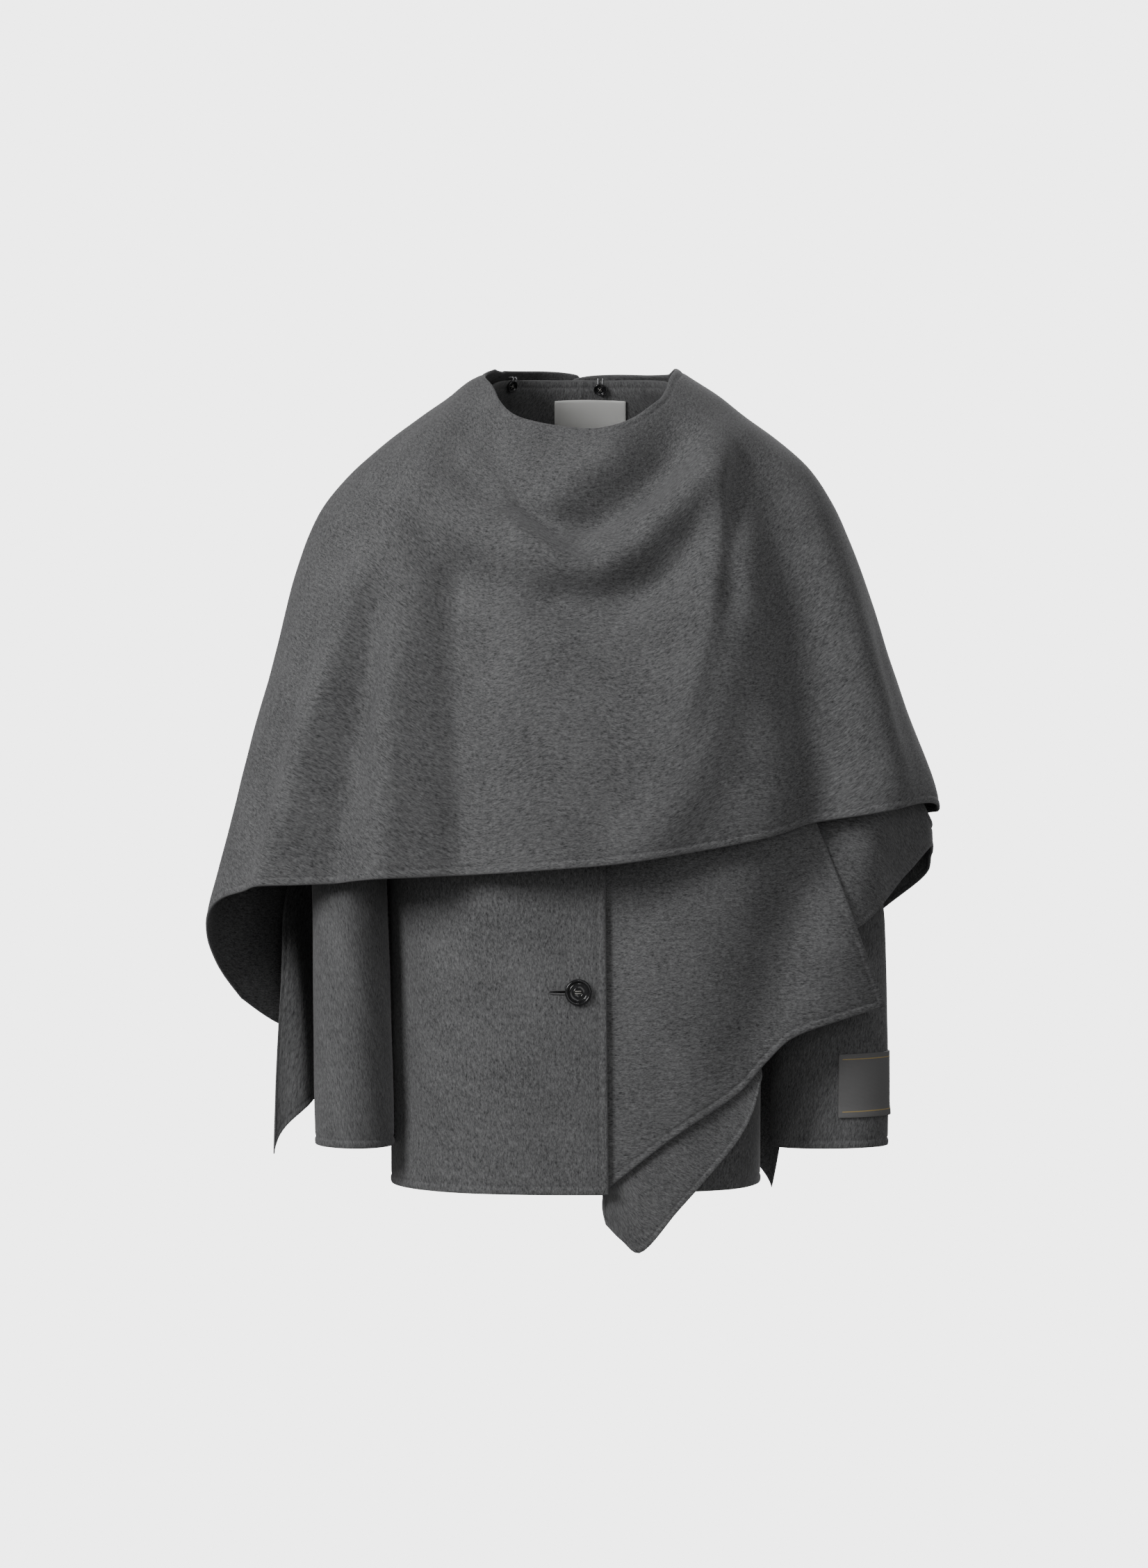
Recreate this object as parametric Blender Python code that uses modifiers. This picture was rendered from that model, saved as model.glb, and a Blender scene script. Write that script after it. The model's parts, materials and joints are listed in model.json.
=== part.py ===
"""Hip-length wool coat, worn by nobody, with a wide scarf wound round its shoulders.

All sizes are in millimetres until a mesh is made. +Z is up, -Y is the front and +X is the
wearer's left. The origin is the middle of the neck base, where the shoulders carry the coat.

Two round forms carry every cloth piece. The body form is the coat's torso and the mantle is
the cape that the scarf makes. Each is a stack of level rings, and a place on it is an angle
round the vertical axis (0 front, 90 left, 180 back, 270 right) and a height.
"""
import math

import bmesh
import bpy
from mathutils import Matrix, Vector

MM = 0.001
WALL = 2.2                 # thickness of the double-faced wool
SEAM = 0.3                 # clearance between pieces that are sewn or touch

HEM_HEIGHT = -708.0        # bottom of the body
OPENING_LEFT_EDGE = 26.0   # free edge of the right front at the hem, past the centre line
OPENING_LEAN = 0.01        # how far that edge comes back for each millimetre above the hem
UNDERLAP = 62.0            # how far the left front reaches under it
UNDERLAP_STEP = 15.5       # how far the left front lies behind the right one there

ARMHOLE_MIDDLE = -150.0
ARMHOLE_HALF_DEPTH = 64.0
ARMHOLE_HALF_HEIGHT = 98.0
ARMHOLE_CUTTER_X = 190.0
ARMHOLE_CUTTER_LENGTH = 120.0
SLEEVE_SIDES = 16
UNDER_SLEEVE_FIRST = 5     # column of the sleeve's rings where the under sleeve starts
UNDER_SLEEVE_SIDES = 6     # how many of those columns it spans
BODY_ROWS = 13
BACK_COLUMNS = 18
SCARF_ROWS = 14
LAYER_STEP = 5.2           # how far a scarf layer lies inside the one over it
SEARCH_STEPS = 40          # halvings that find a place on a faceted panel

BUTTON_RADIUS = 11.8
BUTTON_THICK = 4.2
BUTTON_HEIGHT = -529.0
BUTTONHOLE_LENGTH = 27.0
BUTTONHOLE_GAP = 3.4
BUTTON_SIDES = 24
SHANK_RADIUS = 1.3
NECK_BUTTON_RADIUS = 5.9
NECK_BUTTON_THICK = 2.4
NECK_BUTTON_LIFT = 2.2      # room for the elastic loop between a neck button and the collar
LOOP_RADIUS = 0.65
LOOP_TOP = 36.5            # height at which a loop leaves the scarf's inner face

# Neck buttons: side, x, height and the scarf stretch that the loop hangs from.
NECK_BUTTONS = (("right", -65.0, 27.5, "scarf_back"), ("left", 21.0, 26.5, "scarf_end_back"))

NECK_LABEL_MIDDLE = 11.5
NECK_LABEL_WIDTH = 67.0
NECK_LABEL_HEIGHT = 46.0
NECK_LABEL_TOP = 15.5
SLEEVE_LABEL_HEIGHT = 57.0
SLEEVE_LABEL_TOP = -590.0
LABEL_WALL = 1.0

# Rings of the mantle: height, right and left half widths, front and back depths, squareness.
MANTLE_RINGS = (
    (48.0, -58.0, 72.0, -46.0, 60.0, 2.0),
    (37.0, -79.0, 91.0, -58.0, 68.0, 2.0),
    (26.0, -102.0, 108.0, -68.0, 76.0, 2.0),
    (10.0, -121.0, 132.0, -81.0, 88.0, 2.0),
    (-6.0, -143.0, 153.0, -91.0, 97.0, 2.05),
    (-27.0, -172.0, 181.0, -105.0, 108.0, 2.1),
    (-54.0, -204.0, 212.0, -120.0, 117.0, 2.2),
    (-86.0, -231.0, 234.0, -133.0, 124.0, 2.25),
    (-118.0, -247.0, 248.0, -143.0, 129.0, 2.3),
    (-166.0, -264.0, 266.0, -153.0, 133.0, 2.3),
    (-230.0, -280.0, 287.0, -161.0, 137.0, 2.25),
    (-294.0, -298.0, 309.0, -166.0, 139.0, 2.2),
    (-358.0, -314.0, 332.0, -169.0, 141.0, 2.15),
    (-422.0, -331.0, 335.0, -169.0, 142.0, 2.1),
    (-475.0, -342.0, 332.0, -167.0, 142.0, 2.1),
    (-560.0, -338.0, 328.0, -161.0, 143.0, 2.1),
    (-700.0, -332.0, 322.0, -154.0, 144.0, 2.1),
    (-790.0, -330.0, 320.0, -152.0, 145.0, 2.1),
)

# Rings of the coat body, in the same columns.
BODY_RINGS = (
    (45.0, -70.0, 77.0, -52.0, 52.0, 2.3),
    (33.0, -76.0, 83.0, -60.0, 56.0, 2.3),
    (20.0, -84.0, 90.0, -68.0, 62.0, 2.3),
    (0.0, -113.0, 118.0, -80.0, 76.0, 2.3),
    (-25.0, -150.0, 152.0, -92.0, 92.0, 2.4),
    (-50.0, -177.0, 177.0, -104.0, 104.0, 2.5),
    (-90.0, -180.0, 180.0, -118.0, 112.0, 2.6),
    (-160.0, -178.0, 178.0, -130.0, 118.0, 2.6),
    (-250.0, -175.0, 175.0, -136.0, 120.0, 2.5),
    (-420.0, -173.0, 170.0, -138.0, 122.0, 2.4),
    (-600.0, -172.0, 168.0, -138.0, 124.0, 2.4),
    (-720.0, -172.0, 167.0, -138.0, 125.0, 2.4),
)

# Height of the coat's neck edge by angle.
NECK_EDGE = ((-180.0, 33.0), (-120.0, 30.0), (-90.0, 20.0), (-45.0, -22.0), (0.0, -52.0),
             (45.0, -22.0), (90.0, 20.0), (120.0, 30.0), (180.0, 33.0))

# Soft folds of the mantle: start and end angle and height, the sideways sag of the middle,
# half width and depth. A positive depth stands out and a negative one is a trough.
MANTLE_FOLDS = (
    ("throat crease", -40.0, -20.0, 12.0, -128.0, 0.0, -16.0, 13.0, -11.0),
    ("throat ridge", -55.0, -5.0, 2.0, -150.0, 0.0, -26.0, 22.0, 11.0),
    ("throat ridge left", 2.0, -150.0, 42.0, -12.0, 0.0, -26.0, 20.0, 10.0),
    ("second trough", -33.0, -120.0, 0.0, -182.0, 0.0, -14.0, 17.0, -8.0),
    ("second trough left", 0.0, -182.0, 28.0, -105.0, 0.0, -20.0, 17.0, -8.0),
    ("left breast crease", 31.0, -45.0, 33.0, -260.0, 3.0, 0.0, 17.0, -12.0),
    ("left breast band", 33.0, -250.0, 30.0, -400.0, 2.0, 0.0, 34.0, -13.0),
    ("left arm roll", 60.0, -150.0, 50.0, -350.0, 3.0, 0.0, 40.0, 8.0),
    ("right arm band", -50.0, -200.0, -52.0, -400.0, -2.0, 0.0, 26.0, -9.0),
    ("right arm ridge", -41.0, -180.0, -39.0, -430.0, -1.0, 0.0, 22.0, 7.0),
    ("right breast band", -31.0, -100.0, -29.0, -430.0, 2.0, 0.0, 26.0, -8.0),
    ("back swag one", 130.0, -330.0, 210.0, -90.0, 0.0, -70.0, 22.0, 9.0),
    ("back swag two", 120.0, -350.0, 215.0, -250.0, 0.0, -80.0, 26.0, -9.0),
    ("back swag three", 115.0, -365.0, 225.0, -400.0, 0.0, -70.0, 30.0, 9.0),
    ("right back fold", 248.0, -250.0, 243.0, -520.0, 3.0, 0.0, 30.0, -9.0),
    ("right back ridge", 230.0, -300.0, 226.0, -560.0, 3.0, 0.0, 28.0, 8.0),
)

# Edges of each scarf stretch: share of the way along, angle and height.
SCARF_FRONT_TOP = ((0.0, -112.0, 38.5), (0.13, -90.0, 38.0), (0.28, -64.0, 29.0),
                   (0.36, -47.0, 19.0), (0.42, -34.0, 2.0), (0.49, -19.0, -16.0),
                   (0.576, 0.0, -27.0), (0.62, 9.0, -24.0), (0.677, 22.0, -9.0),
                   (0.746, 37.0, 12.0), (0.81, 51.0, 26.0), (0.9, 71.0, 35.0),
                   (1.0, 92.0, 38.0))
SCARF_FRONT_HEM = ((0.0, -112.0, -545.0), (0.06, -101.0, -512.0), (0.13, -90.0, -478.0),
                   (0.2, -81.0, -455.0), (0.28, -64.0, -441.0), (0.38, -42.5, -432.0),
                   (0.576, 0.0, -417.0), (0.7, 27.0, -393.0), (0.762, 40.5, -378.0),
                   (0.85, 59.7, -364.0), (0.91, 74.0, -361.0), (1.0, 92.0, -369.0))
SCARF_BACK_TOP = ((0.0, 97.0, -380.0), (0.06, 103.0, -376.0), (0.2, 118.0, -280.0),
                  (0.4, 142.0, -120.0), (0.6, 168.0, 0.0), (0.71, 185.0, 39.0),
                  (0.84, 212.0, 41.5), (1.0, 248.0, 38.5))
SCARF_BACK_HEM = ((0.0, 97.0, -410.0), (0.06, 103.0, -424.0), (0.2, 121.0, -462.0),
                  (0.4, 148.0, -545.0), (0.6, 178.0, -598.0), (0.78, 208.0, -603.0),
                  (0.9, 232.0, -576.0), (1.0, 248.0, -545.0))
SCARF_ARM_TOP = ((0.0, 26.0, -270.0), (0.3, 48.0, -285.0), (0.6, 70.0, -325.0),
                 (0.85, 88.0, -374.0), (1.0, 97.0, -380.0))
SCARF_ARM_HEM = ((0.0, 30.0, -505.0), (0.3, 50.0, -478.0), (0.6, 71.0, -428.0),
                 (0.85, 88.0, -401.0), (1.0, 97.0, -410.0))
END_BACK_TOP = ((0.0, 92.0, 38.0), (0.15, 125.0, 40.0), (0.3, 160.0, 41.5), (0.4, 188.0, 38.0),
                (0.5, 210.0, -40.0), (0.65, 226.0, -190.0), (0.8, 235.0, -400.0),
                (1.0, 243.5, -690.0))
END_BACK_HEM = ((0.0, 92.0, -369.0), (0.15, 101.0, -371.0), (0.3, 111.0, -392.0),
                (0.5, 124.0, -455.0), (0.75, 139.0, -590.0), (1.0, 148.8, -727.0))

END_BACK_ARCH = 108.0      # rise of the short edge between its two hanging corners

# Free end at the left front, folded back on itself: share, top x and z, bottom x and z.
END_FRONT_FACE = ((0.0, 194.0, -330.0, 277.0, -545.0), (0.2, 170.0, -328.0, 238.0, -555.0),
                  (0.4, 140.0, -326.0, 191.0, -571.0), (0.52, 115.0, -325.0, 167.0, -593.0),
                  (0.65, 90.0, -325.0, 142.0, -620.0), (0.85, 50.0, -325.0, 80.0, -661.0),
                  (1.0, 24.0, -326.0, 26.0, -703.0))
END_FRONT_FLAP = ((0.0, 24.0, -345.0, 24.0, -735.0), (0.12, 38.0, -400.0, 38.0, -749.0),
                  (0.25, 55.0, -425.0, 56.0, -760.0), (0.42, 80.0, -440.0, 88.0, -724.0),
                  (0.6, 105.0, -450.0, 115.0, -694.0), (0.8, 128.0, -460.0, 142.0, -662.0),
                  (0.92, 142.0, -470.0, 156.0, -636.0), (1.0, 150.0, -480.0, 164.0, -606.0))
END_FRONT_TUCK = 22.0      # x of the fold, hidden behind the right front's edge
END_FRONT_TUCK_DEPTH = -131.0
END_FRONT_TUCK_WIDTH = 110.0
END_FRONT_FOLD_RADIUS = 3.6

# Sleeves: inner x and z, outer x and z, half depth and middle y of each section.
SLEEVE_RIGHT = (
    (182.0, -256.0, 198.0, -64.0, 64.0, 0.0),
    (183.0, -268.0, 224.0, -96.0, 64.0, -2.0),
    (182.0, -288.0, 241.0, -150.0, 62.0, -6.0),
    (180.0, -325.0, 247.0, -240.0, 60.0, -16.0),
    (176.0, -400.0, 248.0, -370.0, 57.0, -34.0),
    (172.0, -490.0, 247.0, -480.0, 55.0, -48.0),
    (169.0, -585.0, 245.0, -580.0, 53.0, -56.0),
    (166.5, -677.0, 243.0, -676.0, 52.0, -60.0),
)
SLEEVE_LEFT = (
    (182.0, -256.0, 199.0, -64.0, 64.0, 0.0),
    (184.0, -268.0, 228.0, -96.0, 62.0, 0.0),
    (184.0, -288.0, 252.0, -150.0, 58.0, 0.0),
    (183.0, -325.0, 268.0, -240.0, 52.0, -2.0),
    (180.0, -400.0, 277.0, -370.0, 46.0, -5.0),
    (178.0, -490.0, 282.0, -480.0, 42.0, -8.0),
    (177.0, -585.0, 284.0, -582.0, 39.0, -10.0),
    (176.0, -680.0, 284.0, -679.0, 38.0, -10.0),
)

WOOL_COLOUR = (0.095, 0.095, 0.097, 1.0)
WOOL_SHADE = (0.07, 0.07, 0.072, 1.0)
BLACK_HORN = (0.012, 0.012, 0.013, 1.0)
ELASTIC_GREY = (0.32, 0.32, 0.33, 1.0)
LABEL_WHITE = (0.72, 0.72, 0.70, 1.0)
LABEL_GREY = (0.055, 0.055, 0.058, 1.0)


def clear_scene():
    """Remove whatever the file holds, so that the script starts from nothing."""
    for leftover in list(bpy.data.objects):
        bpy.data.objects.remove(leftover, do_unlink=True)


def read_rows(rows, place, column):
    """Smooth value of one column at a place along the first column, which rises or falls."""
    falling = rows[0][0] > rows[-1][0]
    ordered = rows[::-1] if falling else rows
    if place <= ordered[0][0]:
        return ordered[0][column]
    if place >= ordered[-1][0]:
        return ordered[-1][column]
    low = max(i for i in range(len(ordered) - 1) if ordered[i][0] <= place)
    high = low + 1
    span = ordered[high][0] - ordered[low][0]
    rise = ordered[high][column] - ordered[low][column]

    def slope(i):
        before = ordered[max(i - 1, 0)]
        after = ordered[min(i + 1, len(ordered) - 1)]
        return (after[column] - before[column]) / (after[0] - before[0])

    steepest = 3.0 * abs(rise) / span
    start = max(-steepest, min(steepest, slope(low))) if rise else 0.0
    finish = max(-steepest, min(steepest, slope(high))) if rise else 0.0
    t = (place - ordered[low][0]) / span
    return (ordered[low][column] * (1.0 + 2.0 * t) * (1.0 - t) ** 2
            + ordered[high][column] * t * t * (3.0 - 2.0 * t)
            + span * start * t * (1.0 - t) ** 2
            - span * finish * t * t * (1.0 - t))


def smooth_step(low, high, value):
    """0 below low, 1 above high and a soft curve between."""
    t = max(0.0, min(1.0, (value - low) / (high - low)))
    return t * t * (3.0 - 2.0 * t)


def ring_point(rings, angle, height):
    """Point of a ringed form at an angle in degrees and a height."""
    right = read_rows(rings, height, 1)
    left = read_rows(rings, height, 2)
    front = read_rows(rings, height, 3)
    back = read_rows(rings, height, 4)
    power = 2.0 / read_rows(rings, height, 5)
    turn = math.radians(angle)
    sideways = math.sin(turn)
    forward = math.cos(turn)
    middle = (left + right) / 2.0
    reach = (left - right) / 2.0
    depth = front if forward > 0.0 else -back
    x = middle + reach * math.copysign(abs(sideways) ** power, sideways)
    y = depth * math.copysign(abs(forward) ** power, forward)
    return Vector((x, y, height))


def ring_normal(rings, angle, height):
    """Outward direction of a ringed form, from its neighbours."""
    across = ring_point(rings, angle + 1.0, height) - ring_point(rings, angle - 1.0, height)
    down = ring_point(rings, angle, height - 3.0) - ring_point(rings, angle, height + 3.0)
    return down.cross(across).normalized()


def fold_depth(angle, height):
    """How far the soft folds move the mantle in or out at a place."""
    across = ring_point(MANTLE_RINGS, 90.0, height).x / 75.0
    total = 0.0
    for name, angle_a, height_a, angle_b, height_b, bow, sag, half_width, depth in MANTLE_FOLDS:
        middle = (angle_a + angle_b) / 2.0
        turned = (angle - middle + 180.0) % 360.0 - 180.0
        start = Vector(((angle_a - middle) * across, height_a))
        finish = Vector(((angle_b - middle) * across, height_b))
        spot = Vector((turned * across, height))
        along = finish - start
        share = max(0.0, min(1.0, (spot - start).dot(along) / along.length_squared))
        arch = 4.0 * share * (1.0 - share)
        nearest = start + along * share + Vector((bow * across, sag)) * arch
        fade = 0.25 + 0.75 * arch
        away = (spot - nearest).length / half_width
        total += depth * fade * math.exp(-away * away)
    return total


def mantle_point(angle, height, inset):
    """Point of the folded mantle, moved in by an inset."""
    base = ring_point(MANTLE_RINGS, angle, height)
    normal = ring_normal(MANTLE_RINGS, angle, height)
    return base + normal * (fold_depth(angle, height) - inset)


def body_point(angle, height, inset):
    """Point of the coat body, moved in by an inset."""
    base = ring_point(BODY_RINGS, angle, height)
    return base - ring_normal(BODY_RINGS, angle, height) * inset


def add_material(name, colour, roughness):
    """Plain Principled material."""
    material = bpy.data.materials.new(name)
    material.use_nodes = True
    shader = material.node_tree.nodes["Principled BSDF"]
    shader.inputs["Base Color"].default_value = colour
    shader.inputs["Roughness"].default_value = roughness
    return material


def link_mesh(name, mesh, material, collection):
    """Object for a mesh, with its material, in the garment's collection."""
    piece = bpy.data.objects.new(name, mesh)
    mesh.materials.append(material)
    collection.objects.link(piece)
    return piece


def grid_mesh(name, points):
    """Open surface through rows of points, in metres."""
    mesh = bpy.data.meshes.new(name)
    grid = bmesh.new()
    rows = [[grid.verts.new(point * MM) for point in row] for row in points]
    for upper, lower in zip(rows, rows[1:]):
        for i in range(len(upper) - 1):
            grid.faces.new((upper[i], lower[i], lower[i + 1], upper[i + 1]))
    grid.to_mesh(mesh)
    grid.free()
    return mesh


def wall_mesh(name, outer, inner):
    """Closed cloth wall between an outer and an inner grid of points."""
    mesh = bpy.data.meshes.new(name)
    shape = bmesh.new()
    sides = []
    for points, flip in ((outer, False), (inner, True)):
        rows = [[shape.verts.new(point * MM) for point in row] for row in points]
        for upper, lower in zip(rows, rows[1:]):
            for i in range(len(upper) - 1):
                corners = (upper[i], lower[i], lower[i + 1], upper[i + 1])
                shape.faces.new(corners[::-1] if flip else corners)
        sides.append(rows)
    rims = []
    for rows in sides:
        rim = rows[0][:]
        rim += [row[-1] for row in rows[1:]]
        rim += rows[-1][-2::-1]
        rim += [row[0] for row in rows[-2:0:-1]]
        rims.append(rim)
    count = len(rims[0])
    for i in range(count):
        j = (i + 1) % count
        shape.faces.new((rims[0][i], rims[0][j], rims[1][j], rims[1][i]))
    shape.to_mesh(mesh)
    shape.free()
    return mesh


def add_wall(piece, thickness):
    """Give an open surface its thickness, inward from its outer face."""
    wall = piece.modifiers.new("wall", "SOLIDIFY")
    wall.thickness = thickness * MM
    wall.offset = -1.0
    wall.use_even_offset = True
    wall.thickness_clamp = 0.0


def ruled_points(top, hem, columns, rows, inset_at, arch, depth):
    """Rows of points between a top and a hem edge, at a depth in the cloth.

    The arch lifts the middle of the last edge, whose two corners then hang down.
    """
    points = []
    for j in range(rows + 1):
        down = j / rows
        row = []
        for i in range(columns + 1):
            share = i / columns
            angle_top = read_rows(top, share, 1)
            angle_hem = read_rows(hem, share, 1)
            height_top = read_rows(top, share, 2)
            height_hem = read_rows(hem, share, 2)
            angle = angle_top + (angle_hem - angle_top) * down
            height = height_top + (height_hem - height_top) * down
            height += arch * math.sin(math.pi * down) ** 0.7 * share ** 4
            row.append(mantle_point(angle, height, inset_at(angle, height) + depth))
        points.append(row)
    return points


def scarf_front_inset(angle, height):
    """The front stretch is the mantle's own face."""
    return 0.0


def scarf_back_inset(angle, height):
    """The outer stretch over the back dips under the front stretch at the left arm."""
    return LAYER_STEP * (1.0 - smooth_step(97.0, 104.0, angle))


def scarf_arm_inset(angle, height):
    """The stretch round the left arm runs under the front stretch."""
    return LAYER_STEP + 3.0 * (1.0 - smooth_step(60.0, 96.0, angle))


def end_back_inset(angle, height):
    """The end that hangs down the back lies inside the outer stretch, more so lower down."""
    tucked = (LAYER_STEP + 0.4) * smooth_step(92.0, 101.0, angle)
    tucked += 4.0 * smooth_step(104.0, 125.0, angle) * smooth_step(-120.0, -260.0, height)
    hanging = 12.0 * smooth_step(-300.0, -520.0, height) * smooth_step(180.0, 225.0, angle)
    return tucked + hanging


def mantle_front_depth(x, z, inset):
    """y of the mantle's front at an x and a z, moved in by an inset."""
    right = read_rows(MANTLE_RINGS, z, 1)
    left = read_rows(MANTLE_RINGS, z, 2)
    front = read_rows(MANTLE_RINGS, z, 3)
    squareness = read_rows(MANTLE_RINGS, z, 5)
    share = min(1.0, abs(x - (left + right) / 2.0) / ((left - right) / 2.0))
    angle = math.degrees(math.asin(share ** (squareness / 2.0)))
    depth = front * (1.0 - share ** squareness) ** (1.0 / squareness)
    return depth - fold_depth(angle, z) * math.cos(math.radians(angle)) + inset


def end_front_depth(x, z):
    """y of the free end's face: it hangs from the mantle and tucks behind the front edge."""
    out = smooth_step(END_FRONT_TUCK, END_FRONT_TUCK + END_FRONT_TUCK_WIDTH, x)
    hanging = mantle_front_depth(x, z, LAYER_STEP + SEAM)
    return END_FRONT_TUCK_DEPTH + (hanging - END_FRONT_TUCK_DEPTH) * out


def end_front_points(face_columns, fold_columns, flap_columns, rows):
    """Rows of the free end: its face, the turn at its fold, and the flap behind."""
    radius = END_FRONT_FOLD_RADIUS
    columns = []
    for i in range(face_columns + 1):
        share = i / face_columns
        columns.append((END_FRONT_FACE, share, 0.0))
    for i in range(1, fold_columns):
        columns.append((None, i / fold_columns, i / fold_columns))
    for i in range(flap_columns + 1):
        share = i / flap_columns
        columns.append((END_FRONT_FLAP, share, 1.0))
    points = []
    for j in range(rows + 1):
        down = j / rows
        row = []
        for table, share, turn in columns:
            if table is None:
                before = [read_rows(END_FRONT_FACE, 1.0, k) for k in (1, 2, 3, 4)]
                after = [read_rows(END_FRONT_FLAP, 0.0, k) for k in (1, 2, 3, 4)]
                edge = [a + (b - a) * share for a, b in zip(before, after)]
            else:
                edge = [read_rows(table, share, k) for k in (1, 2, 3, 4)]
            x = edge[0] + (edge[2] - edge[0]) * down
            z = edge[1] + (edge[3] - edge[1]) * down
            around = math.pi * turn
            y = end_front_depth(x, z) + radius * (1.0 - math.cos(around))
            row.append(Vector((x - radius * math.sin(around), y, z)))
        points.append(row)
    return points


def body_panel_points(start_at, finish_at, columns, inset_at, depth):
    """Rows of a body panel from the neck edge to the hem, at a depth in the cloth."""
    points = []
    for j in range(BODY_ROWS + 1):
        down = (j / BODY_ROWS) ** 1.25
        row = []
        for i in range(columns + 1):
            height = 0.0
            for settle in range(3):
                angle = start_at(height) + (finish_at(height) - start_at(height)) * i / columns
                turned = (angle + 180.0) % 360.0 - 180.0
                top = read_rows(NECK_EDGE, turned, 1)
                height = top + (HEM_HEIGHT - top) * down
            row.append(body_point(angle, height, inset_at(angle) + depth))
        points.append(row)
    return points


def part_at_side_seams(points, first_shift, last_shift):
    """Move the first and last columns apart from the side seams, along y."""
    for row in points:
        row[0].y += first_shift
        row[-1].y += last_shift


def draw_back_edge(points, edge, neighbour, distance):
    """Draw one edge column of a grid back towards its neighbour, to leave half a seam."""
    for row in points:
        row[edge] += (row[neighbour] - row[edge]).normalized() * distance


def front_angle(x, height):
    """Angle of the body form's front at an x and a height."""
    reach = (read_rows(BODY_RINGS, height, 2) - read_rows(BODY_RINGS, height, 1)) / 2.0
    middle = (read_rows(BODY_RINGS, height, 2) + read_rows(BODY_RINGS, height, 1)) / 2.0
    share = (x - middle) / reach
    squareness = read_rows(BODY_RINGS, height, 5)
    return math.degrees(math.asin(math.copysign(abs(share) ** (squareness / 2.0), share)))


def left_front_inset(angle):
    """The left front steps back where the right front and the scarf's end lie over it."""
    return UNDERLAP_STEP * (1.0 - smooth_step(12.0, 62.0, angle))


def add_armhole_cutters(collection):
    """Oval cutters through the two sides of the body."""
    cutters = []
    for name, side in (("armhole_cutter_right", -1.0), ("armhole_cutter_left", 1.0)):
        mesh = bpy.data.meshes.new(name)
        shape = bmesh.new()
        bmesh.ops.create_cone(shape, cap_ends=True, segments=SLEEVE_SIDES, radius1=1.0,
                              radius2=1.0, depth=1.0)
        size = Matrix.Diagonal((ARMHOLE_HALF_HEIGHT * MM, ARMHOLE_HALF_DEPTH * MM,
                                ARMHOLE_CUTTER_LENGTH * MM, 1.0))
        lie_down = Matrix.Rotation(math.pi / 2.0, 4, "Y")
        middle = Vector((side * ARMHOLE_CUTTER_X, 0.0, ARMHOLE_MIDDLE))
        place = Matrix.Translation(middle * MM)
        bmesh.ops.transform(shape, matrix=place @ lie_down @ size, verts=shape.verts)
        shape.to_mesh(mesh)
        shape.free()
        cutter = bpy.data.objects.new(name, mesh)
        collection.objects.link(cutter)
        hide_helper(cutter)
        cutters.append(cutter)
    return cutters


def hide_helper(helper):
    """Mark a cutter as a helper that isn't a piece."""
    helper.hide_render = True
    helper.display_type = "WIRE"


def add_cut(piece, cutter):
    """Cut one object from another."""
    cut = piece.modifiers.new("cut " + cutter.name, "BOOLEAN")
    cut.operation = "DIFFERENCE"
    cut.solver = "EXACT"
    cut.object = cutter


def body_side_x(side, y, z):
    """x of the body's side at a y and a z."""
    middle = (read_rows(BODY_RINGS, z, 2) + read_rows(BODY_RINGS, z, 1)) / 2.0
    reach = (read_rows(BODY_RINGS, z, 2) - read_rows(BODY_RINGS, z, 1)) / 2.0
    depth = abs(read_rows(BODY_RINGS, z, 3 if y < 0.0 else 4))
    squareness = read_rows(BODY_RINGS, z, 5)
    return middle + side * reach * (1.0 - (abs(y) / depth) ** squareness) ** (1.0 / squareness)


def sleeve_points(side, sections):
    """Rings of a sleeve, from the armhole's own line on the body down to the cuff."""
    half_depth = ARMHOLE_HALF_DEPTH - SEAM - 0.2
    half_height = ARMHOLE_HALF_HEIGHT - SEAM - 0.2
    points = []
    for clear_of_wall in (-WALL, 2.0):
        ring = []
        for i in range(SLEEVE_SIDES):
            turn = 2.0 * math.pi * i / SLEEVE_SIDES
            y = half_depth * math.sin(turn)
            z = ARMHOLE_MIDDLE + half_height * math.cos(turn)
            x = body_side_x(side, y, z) + side * clear_of_wall
            ring.append(Vector((x, y, z)))
        points.append(ring)
    steps = 2 * (len(sections) - 1)
    table = [(float(k),) + row for k, row in enumerate(sections)]
    for j in range(steps + 1):
        place = j / 2.0
        inner_x, inner_z, outer_x, outer_z, depth, middle = (
            read_rows(table, place, k) for k in range(1, 7))
        ring = []
        for i in range(SLEEVE_SIDES):
            turn = 2.0 * math.pi * i / SLEEVE_SIDES
            out = 0.5 + 0.5 * math.cos(turn)
            x = side * (inner_x + (outer_x - inner_x) * out)
            z = inner_z + (outer_z - inner_z) * out
            ring.append(Vector((x, middle + depth * math.sin(turn), z)))
        points.append(ring)
    if side < 0.0:
        points = [ring[::-1] for ring in points]
    return points


def sleeve_wall(outer):
    """Inner rings of a sleeve's wall, from its outer ones."""
    last = len(outer) - 1
    count = SLEEVE_SIDES
    inner = []
    for j, ring in enumerate(outer):
        above = outer[max(j - 1, 0)]
        below = outer[min(j + 1, last)]
        moved = []
        for i in range(count):
            across = ring[(i + 1) % count] - ring[(i - 1) % count]
            normal = (below[i] - above[i]).cross(across).normalized()
            moved.append(ring[i] - normal * WALL)
        inner.append(moved)
    return inner


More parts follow.
